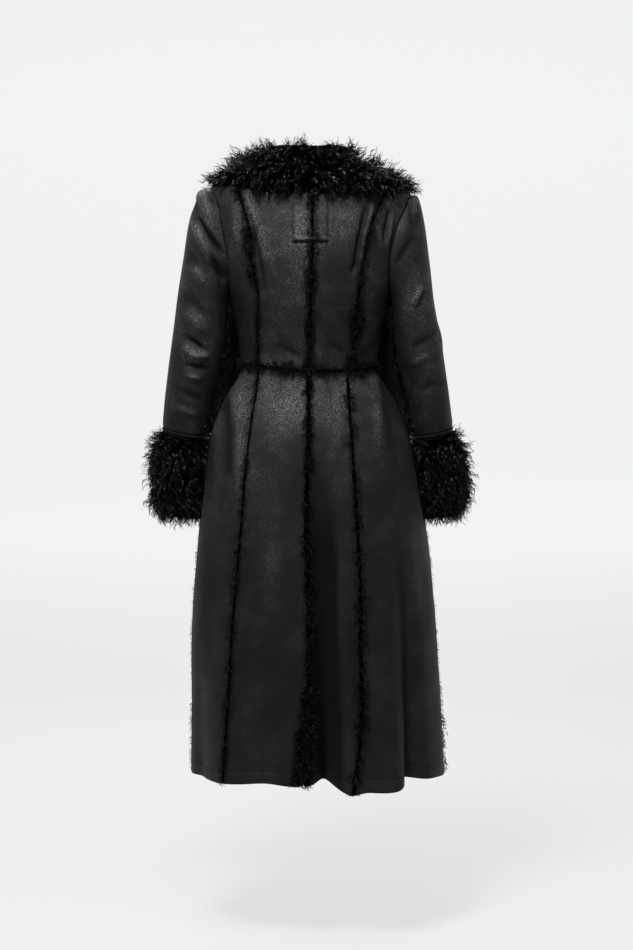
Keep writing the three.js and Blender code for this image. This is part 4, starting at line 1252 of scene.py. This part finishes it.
def lock_mesh(name, seed, shape):
    rng = np.random.default_rng(seed)
    points, faces = [], []
    lean, phase = rng.uniform(0.1, 0.34), rng.uniform(0.0, 2.0 * np.pi)
    for _ in range(shape["strands"]):
        centre, width, twist = strand(rng, shape, lean, phase)
        start, last = len(points), shape["steps"]
        for k in range(last):
            turn = twist + 1.6 * k / last
            side = np.array([np.cos(turn), np.sin(turn), 0.0]) * width[k] / 2.0
            points += [centre[k] - side, centre[k] + side]
        points.append(centre[last])
        for k in range(last - 1):
            a = start + 2 * k
            faces.append((a, a + 1, a + 3, a + 2))
        a = start + 2 * (last - 1)
        faces.append((a, a + 1, a + 2))
    mesh = bpy.data.meshes.new(name)
    mesh.from_pydata([tuple(point) for point in points], [], faces)
    mesh.shade_smooth()
    return mesh


def lock_collection(name, shape, seed):
    collection = bpy.data.collections.new(name)
    for k in range(LOCK_KINDS):
        mesh = lock_mesh(f"{name}_{k}", seed + k, shape)
        collection.objects.link(bpy.data.objects.new(mesh.name, mesh))
    return collection


def lock_triangles(shape):
    return shape["strands"] * (2 * shape["steps"] - 1)


long_locks = lock_collection("long_lock", LONG_LOCK, 100)
short_locks = lock_collection("short_lock", SHORT_LOCK, 200)
print("triangles of a long and a short lock:", lock_triangles(LONG_LOCK), lock_triangles(SHORT_LOCK))


# %% Geometry Nodes tree that plants the locks
class Maker(Nodes):
    """A Geometry Nodes tree with named inputs."""

    def __init__(self, name, inputs):
        self.tree = bpy.data.node_groups.new(name, "GeometryNodeTree")
        new_socket = self.tree.interface.new_socket
        self.names = {}
        for label, kind in inputs.items():
            socket = new_socket(name=label, in_out="INPUT", socket_type="NodeSocket" + kind)
            self.names[label] = socket.identifier
        new_socket(name="Result", in_out="OUTPUT", socket_type="NodeSocketGeometry")
        self.given = self.tree.nodes.new("NodeGroupInput").outputs

    def attribute(self, name, kind):
        node = self.add("GeometryNodeInputNamedAttribute", {"data_type": kind}, Name=name)
        return socket_of(node.outputs, "Attribute")

    def random(self, kind, low, high, seed):
        node = self.add("FunctionNodeRandomValue", {"data_type": kind}, Min=low, Max=high, Seed=seed)
        return socket_of(node.outputs, "Value")

    def finish(self, geometry, material):
        real = self.add("GeometryNodeRealizeInstances", Geometry=geometry)
        dressed = self.add("GeometryNodeSetMaterial", Geometry=real.outputs["Geometry"], Material=material)
        self.tree.links.new(dressed.outputs["Geometry"], self.tree.nodes.new("NodeGroupOutput").inputs[0])
        return self

    def run(self, name, data, values):
        """Plain mesh that the tree makes from an object's data."""
        holder = linked(name, data)
        modifier = holder.modifiers.new(name, "NODES")
        modifier.node_group = self.tree
        for label, value in values.items():
            modifier[self.names[label]] = value
        graph = bpy.context.evaluated_depsgraph_get()
        mesh = bpy.data.meshes.new_from_object(holder.evaluated_get(graph))
        bpy.data.objects.remove(holder)
        return mesh


def fur_tree():
    kit = Maker("plant_locks", {
        "Guide": "Geometry", "Locks a square metre": "Float", "Seed": "Int", "Wander": "Float",
        "Shortest": "Float", "Longest": "Float", "Locks": "Collection", "Fur": "Material",
    })
    given = kit.given
    density = kit.math("MULTIPLY", given["Locks a square metre"], kit.attribute("fullness", "FLOAT"))
    points = kit.add(
        "GeometryNodeDistributePointsOnFaces", Mesh=given["Guide"], Density=density, Seed=given["Seed"]
    )
    stray = kit.random("FLOAT_VECTOR", (-1.0, -1.0, -1.0), (1.0, 1.0, 1.0), 11)
    wander = kit.add("ShaderNodeVectorMath", {"operation": "SCALE"}, Vector=stray, Scale=given["Wander"])
    way = kit.add("ShaderNodeVectorMath", {"operation": "ADD"})
    kit.feed(way.inputs[0], kit.attribute("comb", "FLOAT_VECTOR"))
    kit.feed(way.inputs[1], wander.outputs["Vector"])
    upright = kit.add("FunctionNodeAlignRotationToVector", {"axis": "Z"}, Vector=way.outputs["Vector"])
    spin = kit.random("FLOAT", 0.0, 2.0 * np.pi, 12)
    own_turn = kit.add("FunctionNodeAxisAngleToRotation", Axis=(0.0, 0.0, 1.0), Angle=spin)
    turned = kit.add("FunctionNodeRotateRotation", {"rotation_space": "LOCAL"})
    kit.feed(turned.inputs[0], upright.outputs[0])
    kit.feed(turned.inputs[1], own_turn.outputs[0])
    uneven_length = kit.random("FLOAT", given["Shortest"], given["Longest"], 13)
    size = kit.math("MULTIPLY", kit.attribute("length", "FLOAT"), uneven_length)
    shapes = kit.add(
        "GeometryNodeCollectionInfo", Collection=given["Locks"], Separate_Children=True, Reset_Children=True
    )
    copies = kit.add(
        "GeometryNodeInstanceOnPoints",
        Points=points.outputs["Points"],
        Instance=shapes.outputs[0],
        Pick_Instance=True,
        Instance_Index=kit.random("INT", 0, LOCK_KINDS - 1, 14),
        Rotation=turned.outputs[0],
        Scale=size,
    )
    return kit.finish(copies.outputs["Instances"], given["Fur"])


plant_locks = fur_tree()
print("nodes in the fur tree:", len(plant_locks.tree.nodes))


# %% Guide meshes and planting
def clumped(points, size):
    """Directions that draw neighbouring locks together in tufts about one size apart."""
    ways = unit(np.array([[1.0, 0.3, 0.2], [-0.3, 0.5, 1.0], [0.4, -1.0, 0.6]]))
    phases = points @ ways.T * (2.0 * np.pi / size) + np.array([0.3, 2.1, 4.4])
    return np.sin(phases) @ ways


def guide_mesh(name, grid, comb, length, fullness, closed=False):
    """Grid of root points with the comb direction, lock length and fullness at each."""
    mesh = grid_mesh(name, grid, grid_index(*grid.shape[:2], round_columns=closed))
    mesh.attributes.new("comb", "FLOAT_VECTOR", "POINT").data.foreach_set("vector", unit(comb).ravel())
    for label, values in (("length", length * MM), ("fullness", fullness)):
        values = np.broadcast_to(values, grid.shape[:2]).ravel()
        mesh.attributes.new(label, "FLOAT", "POINT").data.foreach_set("value", values)
    return mesh


def planted(name, guide, locks, shape, triangles, seed, wander, sizes, hair=fur):
    """Plain mesh of all the locks on a guide, within a budget of triangles."""
    area = sum(face.area for face in guide.polygons)
    amounts = np.zeros(len(guide.vertices))
    guide.attributes["fullness"].data.foreach_get("value", amounts)
    density = triangles / lock_triangles(shape) / (area * amounts.mean())
    return plant_locks.run("guide_" + name, guide, {
        "Locks a square metre": float(density), "Seed": seed, "Wander": wander,
        "Shortest": sizes[0], "Longest": sizes[1], "Locks": locks, "Fur": hair,
    })


def joined(name, locks, grounds, hair):
    """One mesh of all locks and the dark ground under them, each with its own material."""
    together = bmesh.new()
    for mesh in locks:
        together.from_mesh(mesh)
    for face in together.faces:
        face.material_index = 0
    count = len(together.faces)
    for mesh in grounds:
        together.from_mesh(mesh)
    together.faces.ensure_lookup_table()
    for face in together.faces[count:]:
        face.material_index = 1
    result = bpy.data.meshes.new(name)
    together.to_mesh(result)
    together.free()
    result.materials.append(hair)
    result.materials.append(roots)
    result.shade_smooth()
    return result


def ground_mesh(name, grid, ring=False):
    """Tube of dark pile under the locks, a closed section a row, with capped ends or joined to a ring."""
    rows, columns = grid.shape[:2]
    numbers = list(range(rows * columns))
    caps = [] if ring else [numbers[:columns], numbers[-columns:][::-1]]
    mesh = grid_mesh(name, grid, grid_index(rows, columns, ring, True), caps)
    shell = bmesh.new()
    shell.from_mesh(mesh)
    bmesh.ops.recalc_face_normals(shell, faces=shell.faces)
    shell.to_mesh(mesh)
    shell.free()
    return mesh


def add_fur(name, node, locks, grounds, hair=fur):
    mesh = joined(name, locks, grounds, hair)
    add_piece(name, mesh, node)
    print(name, "triangles:", sum(len(face.vertices) - 2 for face in mesh.polygons))


print("fur helpers ready")

# %% [markdown]
# ### Collar
# The collar is a thick band of long curls that stands up at the neck and falls over the shoulders,
# with pointed tips that reach past its edge. Its guide follows the neckline: one station after
# another round the neck, each with a row of root points from the top of the stand to the outer edge.

# %% Collar stations
COLLAR_LIFT = 1.4
COLLAR_STAND_SHARE = 0.45
COLLAR_END = 1.97
COLLAR_TRIANGLES = 184000
COLLAR_TUFT = 26.0
COLLAR = Table(["place", "angle", "out_left", "out_right", "stand", "fur_left", "fur_right"], [
    [0, 0, -58, -58, 59, 36, 36],
    [0.25, 13, -58, -61, 58, 37, 36],
    [0.5, 26, -57, -62, 56, 40, 36],
    [0.7, 41, -50, -59, 53, 44, 31],
    [0.85, 57, -47, -54, 48, 46, 27],
    [1, 90, -47, -49, 44, 46, 27],
    [1.12, 122, -62, -64, 38, 43, 29],
    [1.3, 133, -98, -100, 30, 38, 33],
    [1.5, 142, -144, -146, 24, 32, 31],
    [1.75, 149, -188, -188, 18, 27, 27],
    [1.97, 158, -214, -214, 12, 20, 20],
])
COLLAR_DEPTH = Table(["along", "share"], [
    [0, 0.4],
    [0.12, 0.78],
    [0.28, 0.98],
    [0.45, 1.05],
    [0.62, 1.0],
    [0.78, 0.92],
    [0.9, 0.76],
    [1, 0.5],
])


def neckline(place, side):
    """Level and angle of the neck seam: place 0 is the centre back, 1 the side, 2 the front."""
    if place <= 1.0:
        turn = place * np.pi / 2.0
        z = -NECK_BACK_DROP * np.cos(turn)
        return z, neck_angle(side, NECK_HALF_WIDTH * np.sin(turn), z, False)
    z = -NECK_FRONT_DROP * (place - 1.0) ** 1.2
    return z, neck_angle(side, max(3.0, neck_front_half(z)), z, True)


def collar_row(place, side, along, up):
    """Points of one station, at shares along it and heights above the cloth."""
    neck_z, neck_turn = neckline(place, side)
    outer_turn = side * np.radians(COLLAR.at("angle", place))
    outer_z = COLLAR.at("out_" + side_name(side), place)
    rise = 0.86 * COLLAR.at("stand", place) * (1.0 - along / COLLAR_STAND_SHARE)
    share = np.clip((along - COLLAR_STAND_SHARE) / (1.0 - COLLAR_STAND_SHARE), 0.0, 1.0)
    on_stand = along <= COLLAR_STAND_SHARE
    z = np.where(on_stand, neck_z + rise, neck_z + (outer_z - neck_z) * share)
    angle = np.where(on_stand, neck_turn, neck_turn + (outer_turn - neck_turn) * share)
    lift = up + COLLAR_LIFT * np.clip(along / COLLAR_STAND_SHARE, 0.0, 1.0)
    return surface(angle, z) + surface_ways(angle, z)[2] * lift[:, None], surface_ways(angle, z)[2]


def collar_depth(place, side, along):
    return COLLAR.at("fur_" + side_name(side), place) * COLLAR_DEPTH.at("share", along)


COLLAR_PLACES = np.concatenate([
    np.linspace(0, 0.8, 34), np.linspace(0.8, 1.16, 30)[1:], np.linspace(1.16, COLLAR_END, 30)[1:],
])
print("collar stations a side:", len(COLLAR_PLACES))


# %% Collar guide, ground and locks
STRAYS_X, STRAYS_REACH = 128.0, 36.0
FLAT_X, FLAT_REACH = -160.0, 45.0


def collar_grid(along, depth_share, closed_section):
    """Rows of points round the whole collar, from the right front to the left front."""
    rows, normals = [], []
    stations = [(place, -1) for place in COLLAR_PLACES[:0:-1]] + [(place, 1) for place in COLLAR_PLACES]
    for place, side in stations:
        up = collar_depth(place, side, along) * depth_share
        points, out = collar_row(place, side, along, up)
        if closed_section:
            under, _ = collar_row(place, side, along[::-1], np.full(len(along), 0.2))
            points = np.concatenate([points, under])
        rows.append(points)
        normals.append(out)
    return np.array(rows), np.array(normals)


def raised_left(grid, along):
    """On the left shoulder the curls stand up and out in long strays."""
    near = bell(grid[..., 0], STRAYS_X, STRAYS_REACH)
    return near * np.interp(along, [0.05, 0.3, 0.5, 0.8], [0.0, 1.0, 0.9, 0.0])


def collar_comb(grid, normals, along):
    """Up and out at the top of the stand, then more and more down towards the outer edge."""
    down = unit(np.gradient(grid, axis=1))
    lean = np.interp(along, [0.0, 0.1, 0.4, 0.8, 1.0], [-0.4, 0.2, 0.7, 1.1, 1.3])
    comb = normals * 0.45 + down * lean[None, :, None] + 0.55 * clumped(grid, COLLAR_TUFT)
    return comb + raised_left(grid, along)[..., None] * np.array([0.35, 0.0, 0.9])


def add_collar():
    along = np.linspace(0.0, 1.0, 15)
    grid, normals = collar_grid(along, 0.5, False)
    comb = collar_comb(grid, normals, along)
    length = np.interp(along, [0.0, 0.15, 0.4, 0.7, 1.0], [26.0, 34.0, 44.0, 46.0, 38.0])[None, :]
    station = np.arange(len(grid))
    near_end = np.clip(np.minimum(station, len(grid) - 1 - station) / 12.0, 0.55, 1.0)
    length = length * near_end[:, None] * (1.0 + 0.35 * raised_left(grid, along))
    flat = bell(grid[..., 0], FLAT_X, FLAT_REACH) * np.interp(along, [0.3, 0.6], [1.0, 0.0])
    length = length * (1.0 - 0.35 * flat)
    fullness = np.interp(along, [0.0, 0.1, 0.2], [2.6, 1.6, 1.0])[None, :]
    guide = guide_mesh("collar_guide", grid, comb, length, fullness)
    locks = planted("collar", guide, long_locks, LONG_LOCK, COLLAR_TRIANGLES, 5, 0.42, (0.55, 1.12))
    section, _ = collar_grid(np.linspace(0.0, 1.0, 11), 0.52, True)
    add_fur("fur_collar", "collar_fur", [locks], [ground_mesh("collar_ground", section)])


add_collar()

# %% [markdown]
# ### Cuffs
# Each cuff is a deep band of the same curls round the end of the sleeve. They spring out sideways
# under the shiny edge and fall past the wrist in ragged points. The side that faces the skirt
# is pressed flatter, as on the real coat.

# %% Cuffs
CUFF = Table(["step", "left", "right", "out_z", "inside", "in_z", "y", "depth", "tilt", "fur"], [
    [0, 303, 293, -532.6, 209, -552.6, -54, 51, 8, 0],
    [0.4, 304, 295, -543, 210, -563, -57, 51, 8, 11],
    [1, 305, 298, -560, 211, -580, -62, 51, 8, 18],
    [2, 308, 302, -588, 214, -608, -69, 50, 7, 25],
    [3, 309, 306, -622, 217, -641, -78, 49, 6, 28],
    [4, 309, 307, -656, 219, -673, -87, 48, 5, 27],
    [5, 309, 307, -686, 220, -700, -94, 47, 4, 20],
    [6, 307, 306, -706, 221, -716, -99, 46, 3, 6],
])
CUFF_WALL = 4.0
CUFF_COLUMNS = 56
CUFF_TRIANGLES, CUFF_SIZES, CUFF_TUFT = 104000, (0.65, 1.12), 24.0


def cuff_grid(side, steps, depth_share):
    turns = 2.0 * np.pi * np.arange(CUFF_COLUMNS) / CUFF_COLUMNS
    step, turn = np.meshgrid(steps, turns, indexing="ij")
    facing = np.maximum(0.0, -np.cos(turn))
    depth = CUFF.at("fur", step) * (1.0 - 0.65 * facing)
    return ring_point(CUFF, side, step, turn, depth * depth_share), facing


def add_cuff(name, side):
    steps = np.linspace(0.15, 5.9, 22)
    grid, facing = cuff_grid(side, steps, 0.36)
    normals = ring_normals(grid, side)
    down = unit(np.gradient(grid, axis=0))
    lean = np.interp(steps, [0.0, 0.6, 2.0, 4.0, 6.0], [-0.3, 0.3, 1.1, 1.8, 2.8])[:, None, None]
    comb = normals * 0.55 + down * lean + 0.5 * clumped(grid, CUFF_TUFT)
    length = np.interp(steps, [0.0, 1.0, 3.0, 5.0, 6.0], [24.0, 36.0, 46.0, 40.0, 27.0])[:, None]
    length = length * (1.0 - 0.35 * facing * np.clip(steps / 2.0, 0.0, 1.0)[:, None])
    guide = guide_mesh("cuff_guide", grid, comb, length, 1.0, closed=True)
    locks = planted("cuff_" + name, guide, long_locks, LONG_LOCK, CUFF_TRIANGLES, 20 + side, 0.3, CUFF_SIZES)
    outside = cuff_grid(side, np.linspace(0.0, 6.0, 18), 0.38)[0]
    inside = cuff_grid(side, np.linspace(6.0, 0.0, 6), 0.0)[0]
    inside = inside + unit(inside.mean(axis=1, keepdims=True) - inside) * CUFF_WALL
    section = np.concatenate([outside, inside]).transpose(1, 0, 2)
    ground = ground_mesh("cuff_ground", section, ring=True)
    add_fur("fur_cuff_" + name, "cuff_fur_" + name, [locks], [ground])


for name, side in SIDES.items():
    add_cuff(name, side)

# %% [markdown]
# ### Fur along the seams
# Where two panels meet, their fur sides are turned out and show as a ragged curly strip. Each strip
# follows its seam on the same surface as the cloth. A strip is a path with three directions
# at every point: out of the cloth, across the seam and along it. The curls lean away
# from the seam on both sides, longer where the pile is thick.

# %% Strip from a path
STRIP_LIFT = 0.8
STRIP_PITCH = 6.0
GROUND_SINK = 1.3
BOTH_SIDES = (-1.0, 1.0)
SHORT_SIZES = (0.5, 1.15)


def ragged(count, seed):
    """Uneven share along a strip: thick tufts with thin places between them."""
    k = np.arange(count)
    waves = np.sin(k * 0.47 + seed) + 0.8 * np.sin(k * 1.13 + 2.3 * seed)
    waves = waves + 0.6 * np.sin(k * 0.19 + 0.7 * seed)
    return np.clip(1.0 + 0.14 * waves, 0.76, 1.4)


def strip_guide(name, path, half_width, length, sides):
    """Guide band on a path; sides are the shares of the half width that it covers."""
    across = np.linspace(sides[0], sides[1], 5)
    half = np.broadcast_to(half_width, len(path["middle"]))[:, None, None]
    crown = (1.0 - 0.6 * across ** 2)[None, :, None] * 1.6 + STRIP_LIFT
    grid = path["middle"][:, None] + path["across"][:, None] * across[None, :, None] * half
    grid = grid + path["out"][:, None] * crown
    lean = across[None, :, None]
    comb = path["out"][:, None] * 0.4 + path["across"][:, None] * lean * 0.9 + path["along"][:, None] * 0.5
    lengths = np.broadcast_to(length, len(path["middle"]))[:, None]
    return guide_mesh(name, grid, comb, lengths, 1.0)


def strip_ground(name, path, half_width, height, sides):
    """Low dark ridge under the curls."""
    half = np.broadcast_to(half_width, len(path["middle"]))[:, None]
    edge = 0.85 + 0.3 * uneven(np.arange(len(path["middle"])), 3)[:, None]
    low, high = sides
    shape = [(low, 0.0), (0.7 * low, 0.8), (0.0, 1.0), (0.7 * high, 0.8), (high, 0.0), (0.0, 0.0)]
    section = []
    for share, up in shape:
        sideways = path["across"] * half * share * edge
        section.append(path["middle"] + sideways + path["out"] * (up * height - GROUND_SINK))
    return ground_mesh(name, np.array(section).transpose(1, 0, 2))


def surface_path(angles, levels):
    across, down, out = surface_ways(angles, levels)
    middle = surface(angles, levels)
    relief = crease_relief(middle, out)
    return {"middle": middle + out * relief[:, None], "across": across, "along": down, "out": out}


def seam_path(edge, side, top, bottom, inset=0.0):
    parts = max(2, int(round((top - bottom) / STRIP_PITCH)))
    levels = np.linspace(top, bottom, parts + 1)
    angles = edge(side, levels)
    return surface_path(angles + inset / stretch(angles, levels), levels)


def thick_at(path, level, low, high, reach=42.0):
    """Longer pile round one level of a seam."""
    return low + (high - low) * bell(path["middle"][:, 2], level, reach)


def add_strip(node, path, half_width, length, triangles, seed):
    share = ragged(len(path["middle"]), seed)
    guide = strip_guide(node + "_guide", path, half_width * share, length * share, BOTH_SIDES)
    locks = planted(node, guide, short_locks, SHORT_LOCK, triangles, seed, 0.55, SHORT_SIZES, short_fur)
    ground = strip_ground(node + "_ground", path, 0.66 * half_width * share, 3.0, BOTH_SIDES)
    add_fur("fur_" + node, node, [locks], [ground], short_fur)


print("triangles of a short lock:", lock_triangles(SHORT_LOCK))

# %% Strips down the back
WAIST_BAND = 7.0
STRIP_TOP = WAIST - WAIST_BAND
HEM_END = HEM + 2.0


def add_back_strips():
    centre = seam_path(centre_back_edge, 1, -50.0, WAIST)
    add_strip("trim_bodice_centre_back", centre, 7.6, 13.5, 17000, 31)
    left = seam_path(side_back_edge, 1, -50.0, WAIST)
    width, length = thick_at(left, -160.0, 5.6, 8.4, 85.0), thick_at(left, -160.0, 10.0, 14.0, 85.0)
    add_strip("trim_bodice_side_back_left", left, width, length, 17000, 32)
    right = seam_path(side_back_edge, -1, -60.0, WAIST)
    width, length = thick_at(right, -312.0, 5.8, 12.5, 50.0), thick_at(right, -312.0, 11.0, 18.0, 50.0)
    add_strip("trim_bodice_side_back_right", right, width, length, 17000, 33)


def add_skirt_strips():
    for name, side in SIDES.items():
        back = seam_path(side_back_edge, side, STRIP_TOP, HEM_END)
        widest, length = {"left": (6.8, 12.0), "right": (9.5, 15.0)}[name]
        width = np.linspace(0.6, 1.0, len(back["middle"])) * widest
        add_strip("trim_skirt_side_back_" + name, back, width, length, 18000, 36 + side)
        outer = seam_path(side_edge, side, STRIP_TOP, HEM_END)
        longest = {"left": 8.0, "right": 18.0}[name]
        lengths = thick_at(outer, -1150.0, 6.0, longest, 70.0)
        add_strip("trim_side_" + name, outer, 4.0, lengths, 12000, 40 + side)


add_back_strips()
add_skirt_strips()


# %% Vent, front edges, waist and sleeves
def add_vent_strip():
    node = "trim_skirt_centre_back"
    whole = seam_path(centre_back_edge, 1, STRIP_TOP, VENT_TOP)
    legs = {name: seam_path(centre_back_edge, side, VENT_TOP, HEM_END) for name, side in SIDES.items()}
    jobs = [
        (whole, BOTH_SIDES, BOTH_SIDES, 13.0, 23000),
        (legs["left"], (-1.6, 1.6), (-1.3, 1.4), 20.0, 15500),
        (legs["right"], (-1.1, 1.6), (-1.0, 1.2), 16.0, 13500),
    ]
    locks, grounds = [], []
    for k, (path, sides, ground_sides, length, triangles) in enumerate(jobs):
        share = ragged(len(path["middle"]), 50 + k)
        guide = strip_guide(f"{node}_guide_{k}", path, 7.2 * share, length * share, sides)
        locks.append(planted(
            f"{node}_{k}", guide, short_locks, SHORT_LOCK, triangles, 50 + k, 0.5, SHORT_SIZES, short_fur
        ))
        grounds.append(strip_ground(f"{node}_ground_{k}", path, 6.4 * share, 3.5, ground_sides))
    add_fur("fur_" + node, node, locks, grounds, short_fur)


def add_front_strips():
    for name, side in SIDES.items():
        edge = seam_path(centre_front_edge, side, -236.0, HEM_END, inset=-side * 4.0)
        add_strip("trim_front_" + name, edge, 5.5, 13.0, 17000, 60 + side)


WAIST_RISE, RISE_ANGLE, RISE_SPREAD = 7.0, 55.0, 38.0


def add_waist_strip():
    ends = [centre_front_edge(side, np.array([WAIST]))[0] for side in (-1, 1)]
    angles = np.linspace(ends[0] + 0.03, ends[1] - 0.03, 150)
    path = surface_path(angles, np.full(len(angles), WAIST))
    turned = dict(path, across=-path["along"], along=path["across"])
    behind = np.clip(np.cos(angles) * 1.5 + 0.5, 0.0, 1.0)
    rise = WAIST_RISE * bell(np.degrees(angles), RISE_ANGLE, RISE_SPREAD)
    turned["middle"] = turned["middle"] + turned["across"] * rise[:, None]
    add_strip("trim_waist", turned, 4.5 + 3.5 * behind, 10.0 + 4.5 * behind, 26000, 70)


def sleeve_path(side):
    steps = np.linspace(1.2, 7.6, 78)
    rings = sleeve_rings(side, steps)
    normals = ring_normals(rings, side)
    relief = sleeve_relief(rings, normals, steps, side)
    column = SLEEVE_COLUMNS * 160 // 360
    around = unit(rings[:, column + 1] - rings[:, column - 1])
    along = unit(np.gradient(rings[:, column], axis=0))
    out = normals[:, column]
    middle = rings[:, column] + out * relief[:, column, None]
    return {"middle": middle, "across": around, "along": along, "out": out}


add_vent_strip()
add_front_strips()
add_waist_strip()
for name, side in SIDES.items():
    path = sleeve_path(side)
    add_strip("trim_sleeve_" + name, path, 6.5, thick_at(path, -530.0, 15.0, 30.0, 26.0), 14000, 80 + side)

# %% [markdown]
# ## Sewing
# A row of stitches holds the turned-up hem, and two rows of stitches run down the sides of a plain oblong
# under the collar.
# Single stitches are short rounded bars laid end to end. Geometry Nodes place them along curves:
# the curve is resampled at the stitch length, and one bar is set at each point and turned
# along the curve.

# %% Tree that sews along a curve
STITCH_LENGTH = 4.2
STITCH_SIZE = (0.9, 0.9, 3.3)


def stitch_tree():
    kit = Maker("sew_along", {
        "Path": "Geometry", "Stitch length": "Float", "Stitch": "Object", "Thread": "Material",
    })
    given = kit.given
    by_length = {"mode": "LENGTH"}
    spaced = kit.add(
        "GeometryNodeResampleCurve", by_length, Curve=given["Path"], Length=given["Stitch length"]
    )
    points = kit.add("GeometryNodeCurveToPoints", {"mode": "EVALUATED"}, Curve=spaced.outputs["Curve"])
    shape = kit.add("GeometryNodeObjectInfo", Object=given["Stitch"])
    copies = kit.add(
        "GeometryNodeInstanceOnPoints",
        Points=points.outputs["Points"],
        Instance=shape.outputs["Geometry"],
        Rotation=points.outputs["Rotation"],
    )
    return kit.finish(copies.outputs["Instances"], given["Thread"])


def stitch_shape():
    """One rounded bar along Z, a little shorter than the stitch length."""
    bar = bmesh.new()
    bmesh.ops.create_uvsphere(bar, u_segments=6, v_segments=5, radius=0.5)
    for vertex in bar.verts:
        vertex.co = [share * size * MM for share, size in zip(vertex.co, STITCH_SIZE)]
    mesh = bpy.data.meshes.new("stitch")
    bar.to_mesh(mesh)
    bar.free()
    mesh.shade_smooth()
    return bpy.data.objects.new("stitch", mesh)


def sewn(name, lines):
    """Plain mesh of stitches along several lines of points."""
    data = bpy.data.curves.new(name, "CURVE")
    data.dimensions = "3D"
    for line in lines:
        spline = data.splines.new("POLY")
        spline.points.add(len(line) - 1)
        for point, place in zip(spline.points, line * MM):
            point.co = (*place, 1.0)
    return sew_along.run(name, data, {
        "Stitch length": STITCH_LENGTH * MM, "Stitch": one_stitch, "Thread": thread,
    })


sew_along = stitch_tree()
one_stitch = stitch_shape()
print("faces of a stitch:", len(one_stitch.data.polygons))


# %% Hem and oblong stitches
def stitch_line(angles, levels, lift):
    angles, levels = np.broadcast_arrays(angles, levels)
    middle = surface(angles, levels)
    out = surface_ways(angles, levels)[2]
    relief = crease_relief(middle, out)
    relief = relief + plate_relief(middle[..., 0], middle[..., 2], out) + hem_relief(levels)
    return middle + out * (relief + lift)[:, None]


def hem_lines():
    lines = []
    level = np.array([HEM_LINE])
    for side in (1, -1):
        first, last = centre_back_edge(side, level)[0], centre_front_edge(side, level)[0]
        inset = side * 0.02
        lines.append(stitch_line(np.linspace(first + inset, last - inset, 260), HEM_LINE, 0.1))
    return lines


def plate_lines():
    lines = []
    for x in (PLATE_LEFT, PLATE_RIGHT):
        levels = np.linspace(-78.0, PLATE_BOTTOM, 24)
        lines.append(stitch_line(angle_of(x, levels), levels, 0.15))
    return lines


def add_stitches(name, lines):
    mesh = sewn(name, lines)
    piece = linked(name, mesh)
    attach(piece, BODY_NAME)
    print(name, "faces:", len(mesh.polygons))


add_stitches("stitches_hem", hem_lines())
add_stitches("stitches_oblong", plate_lines())
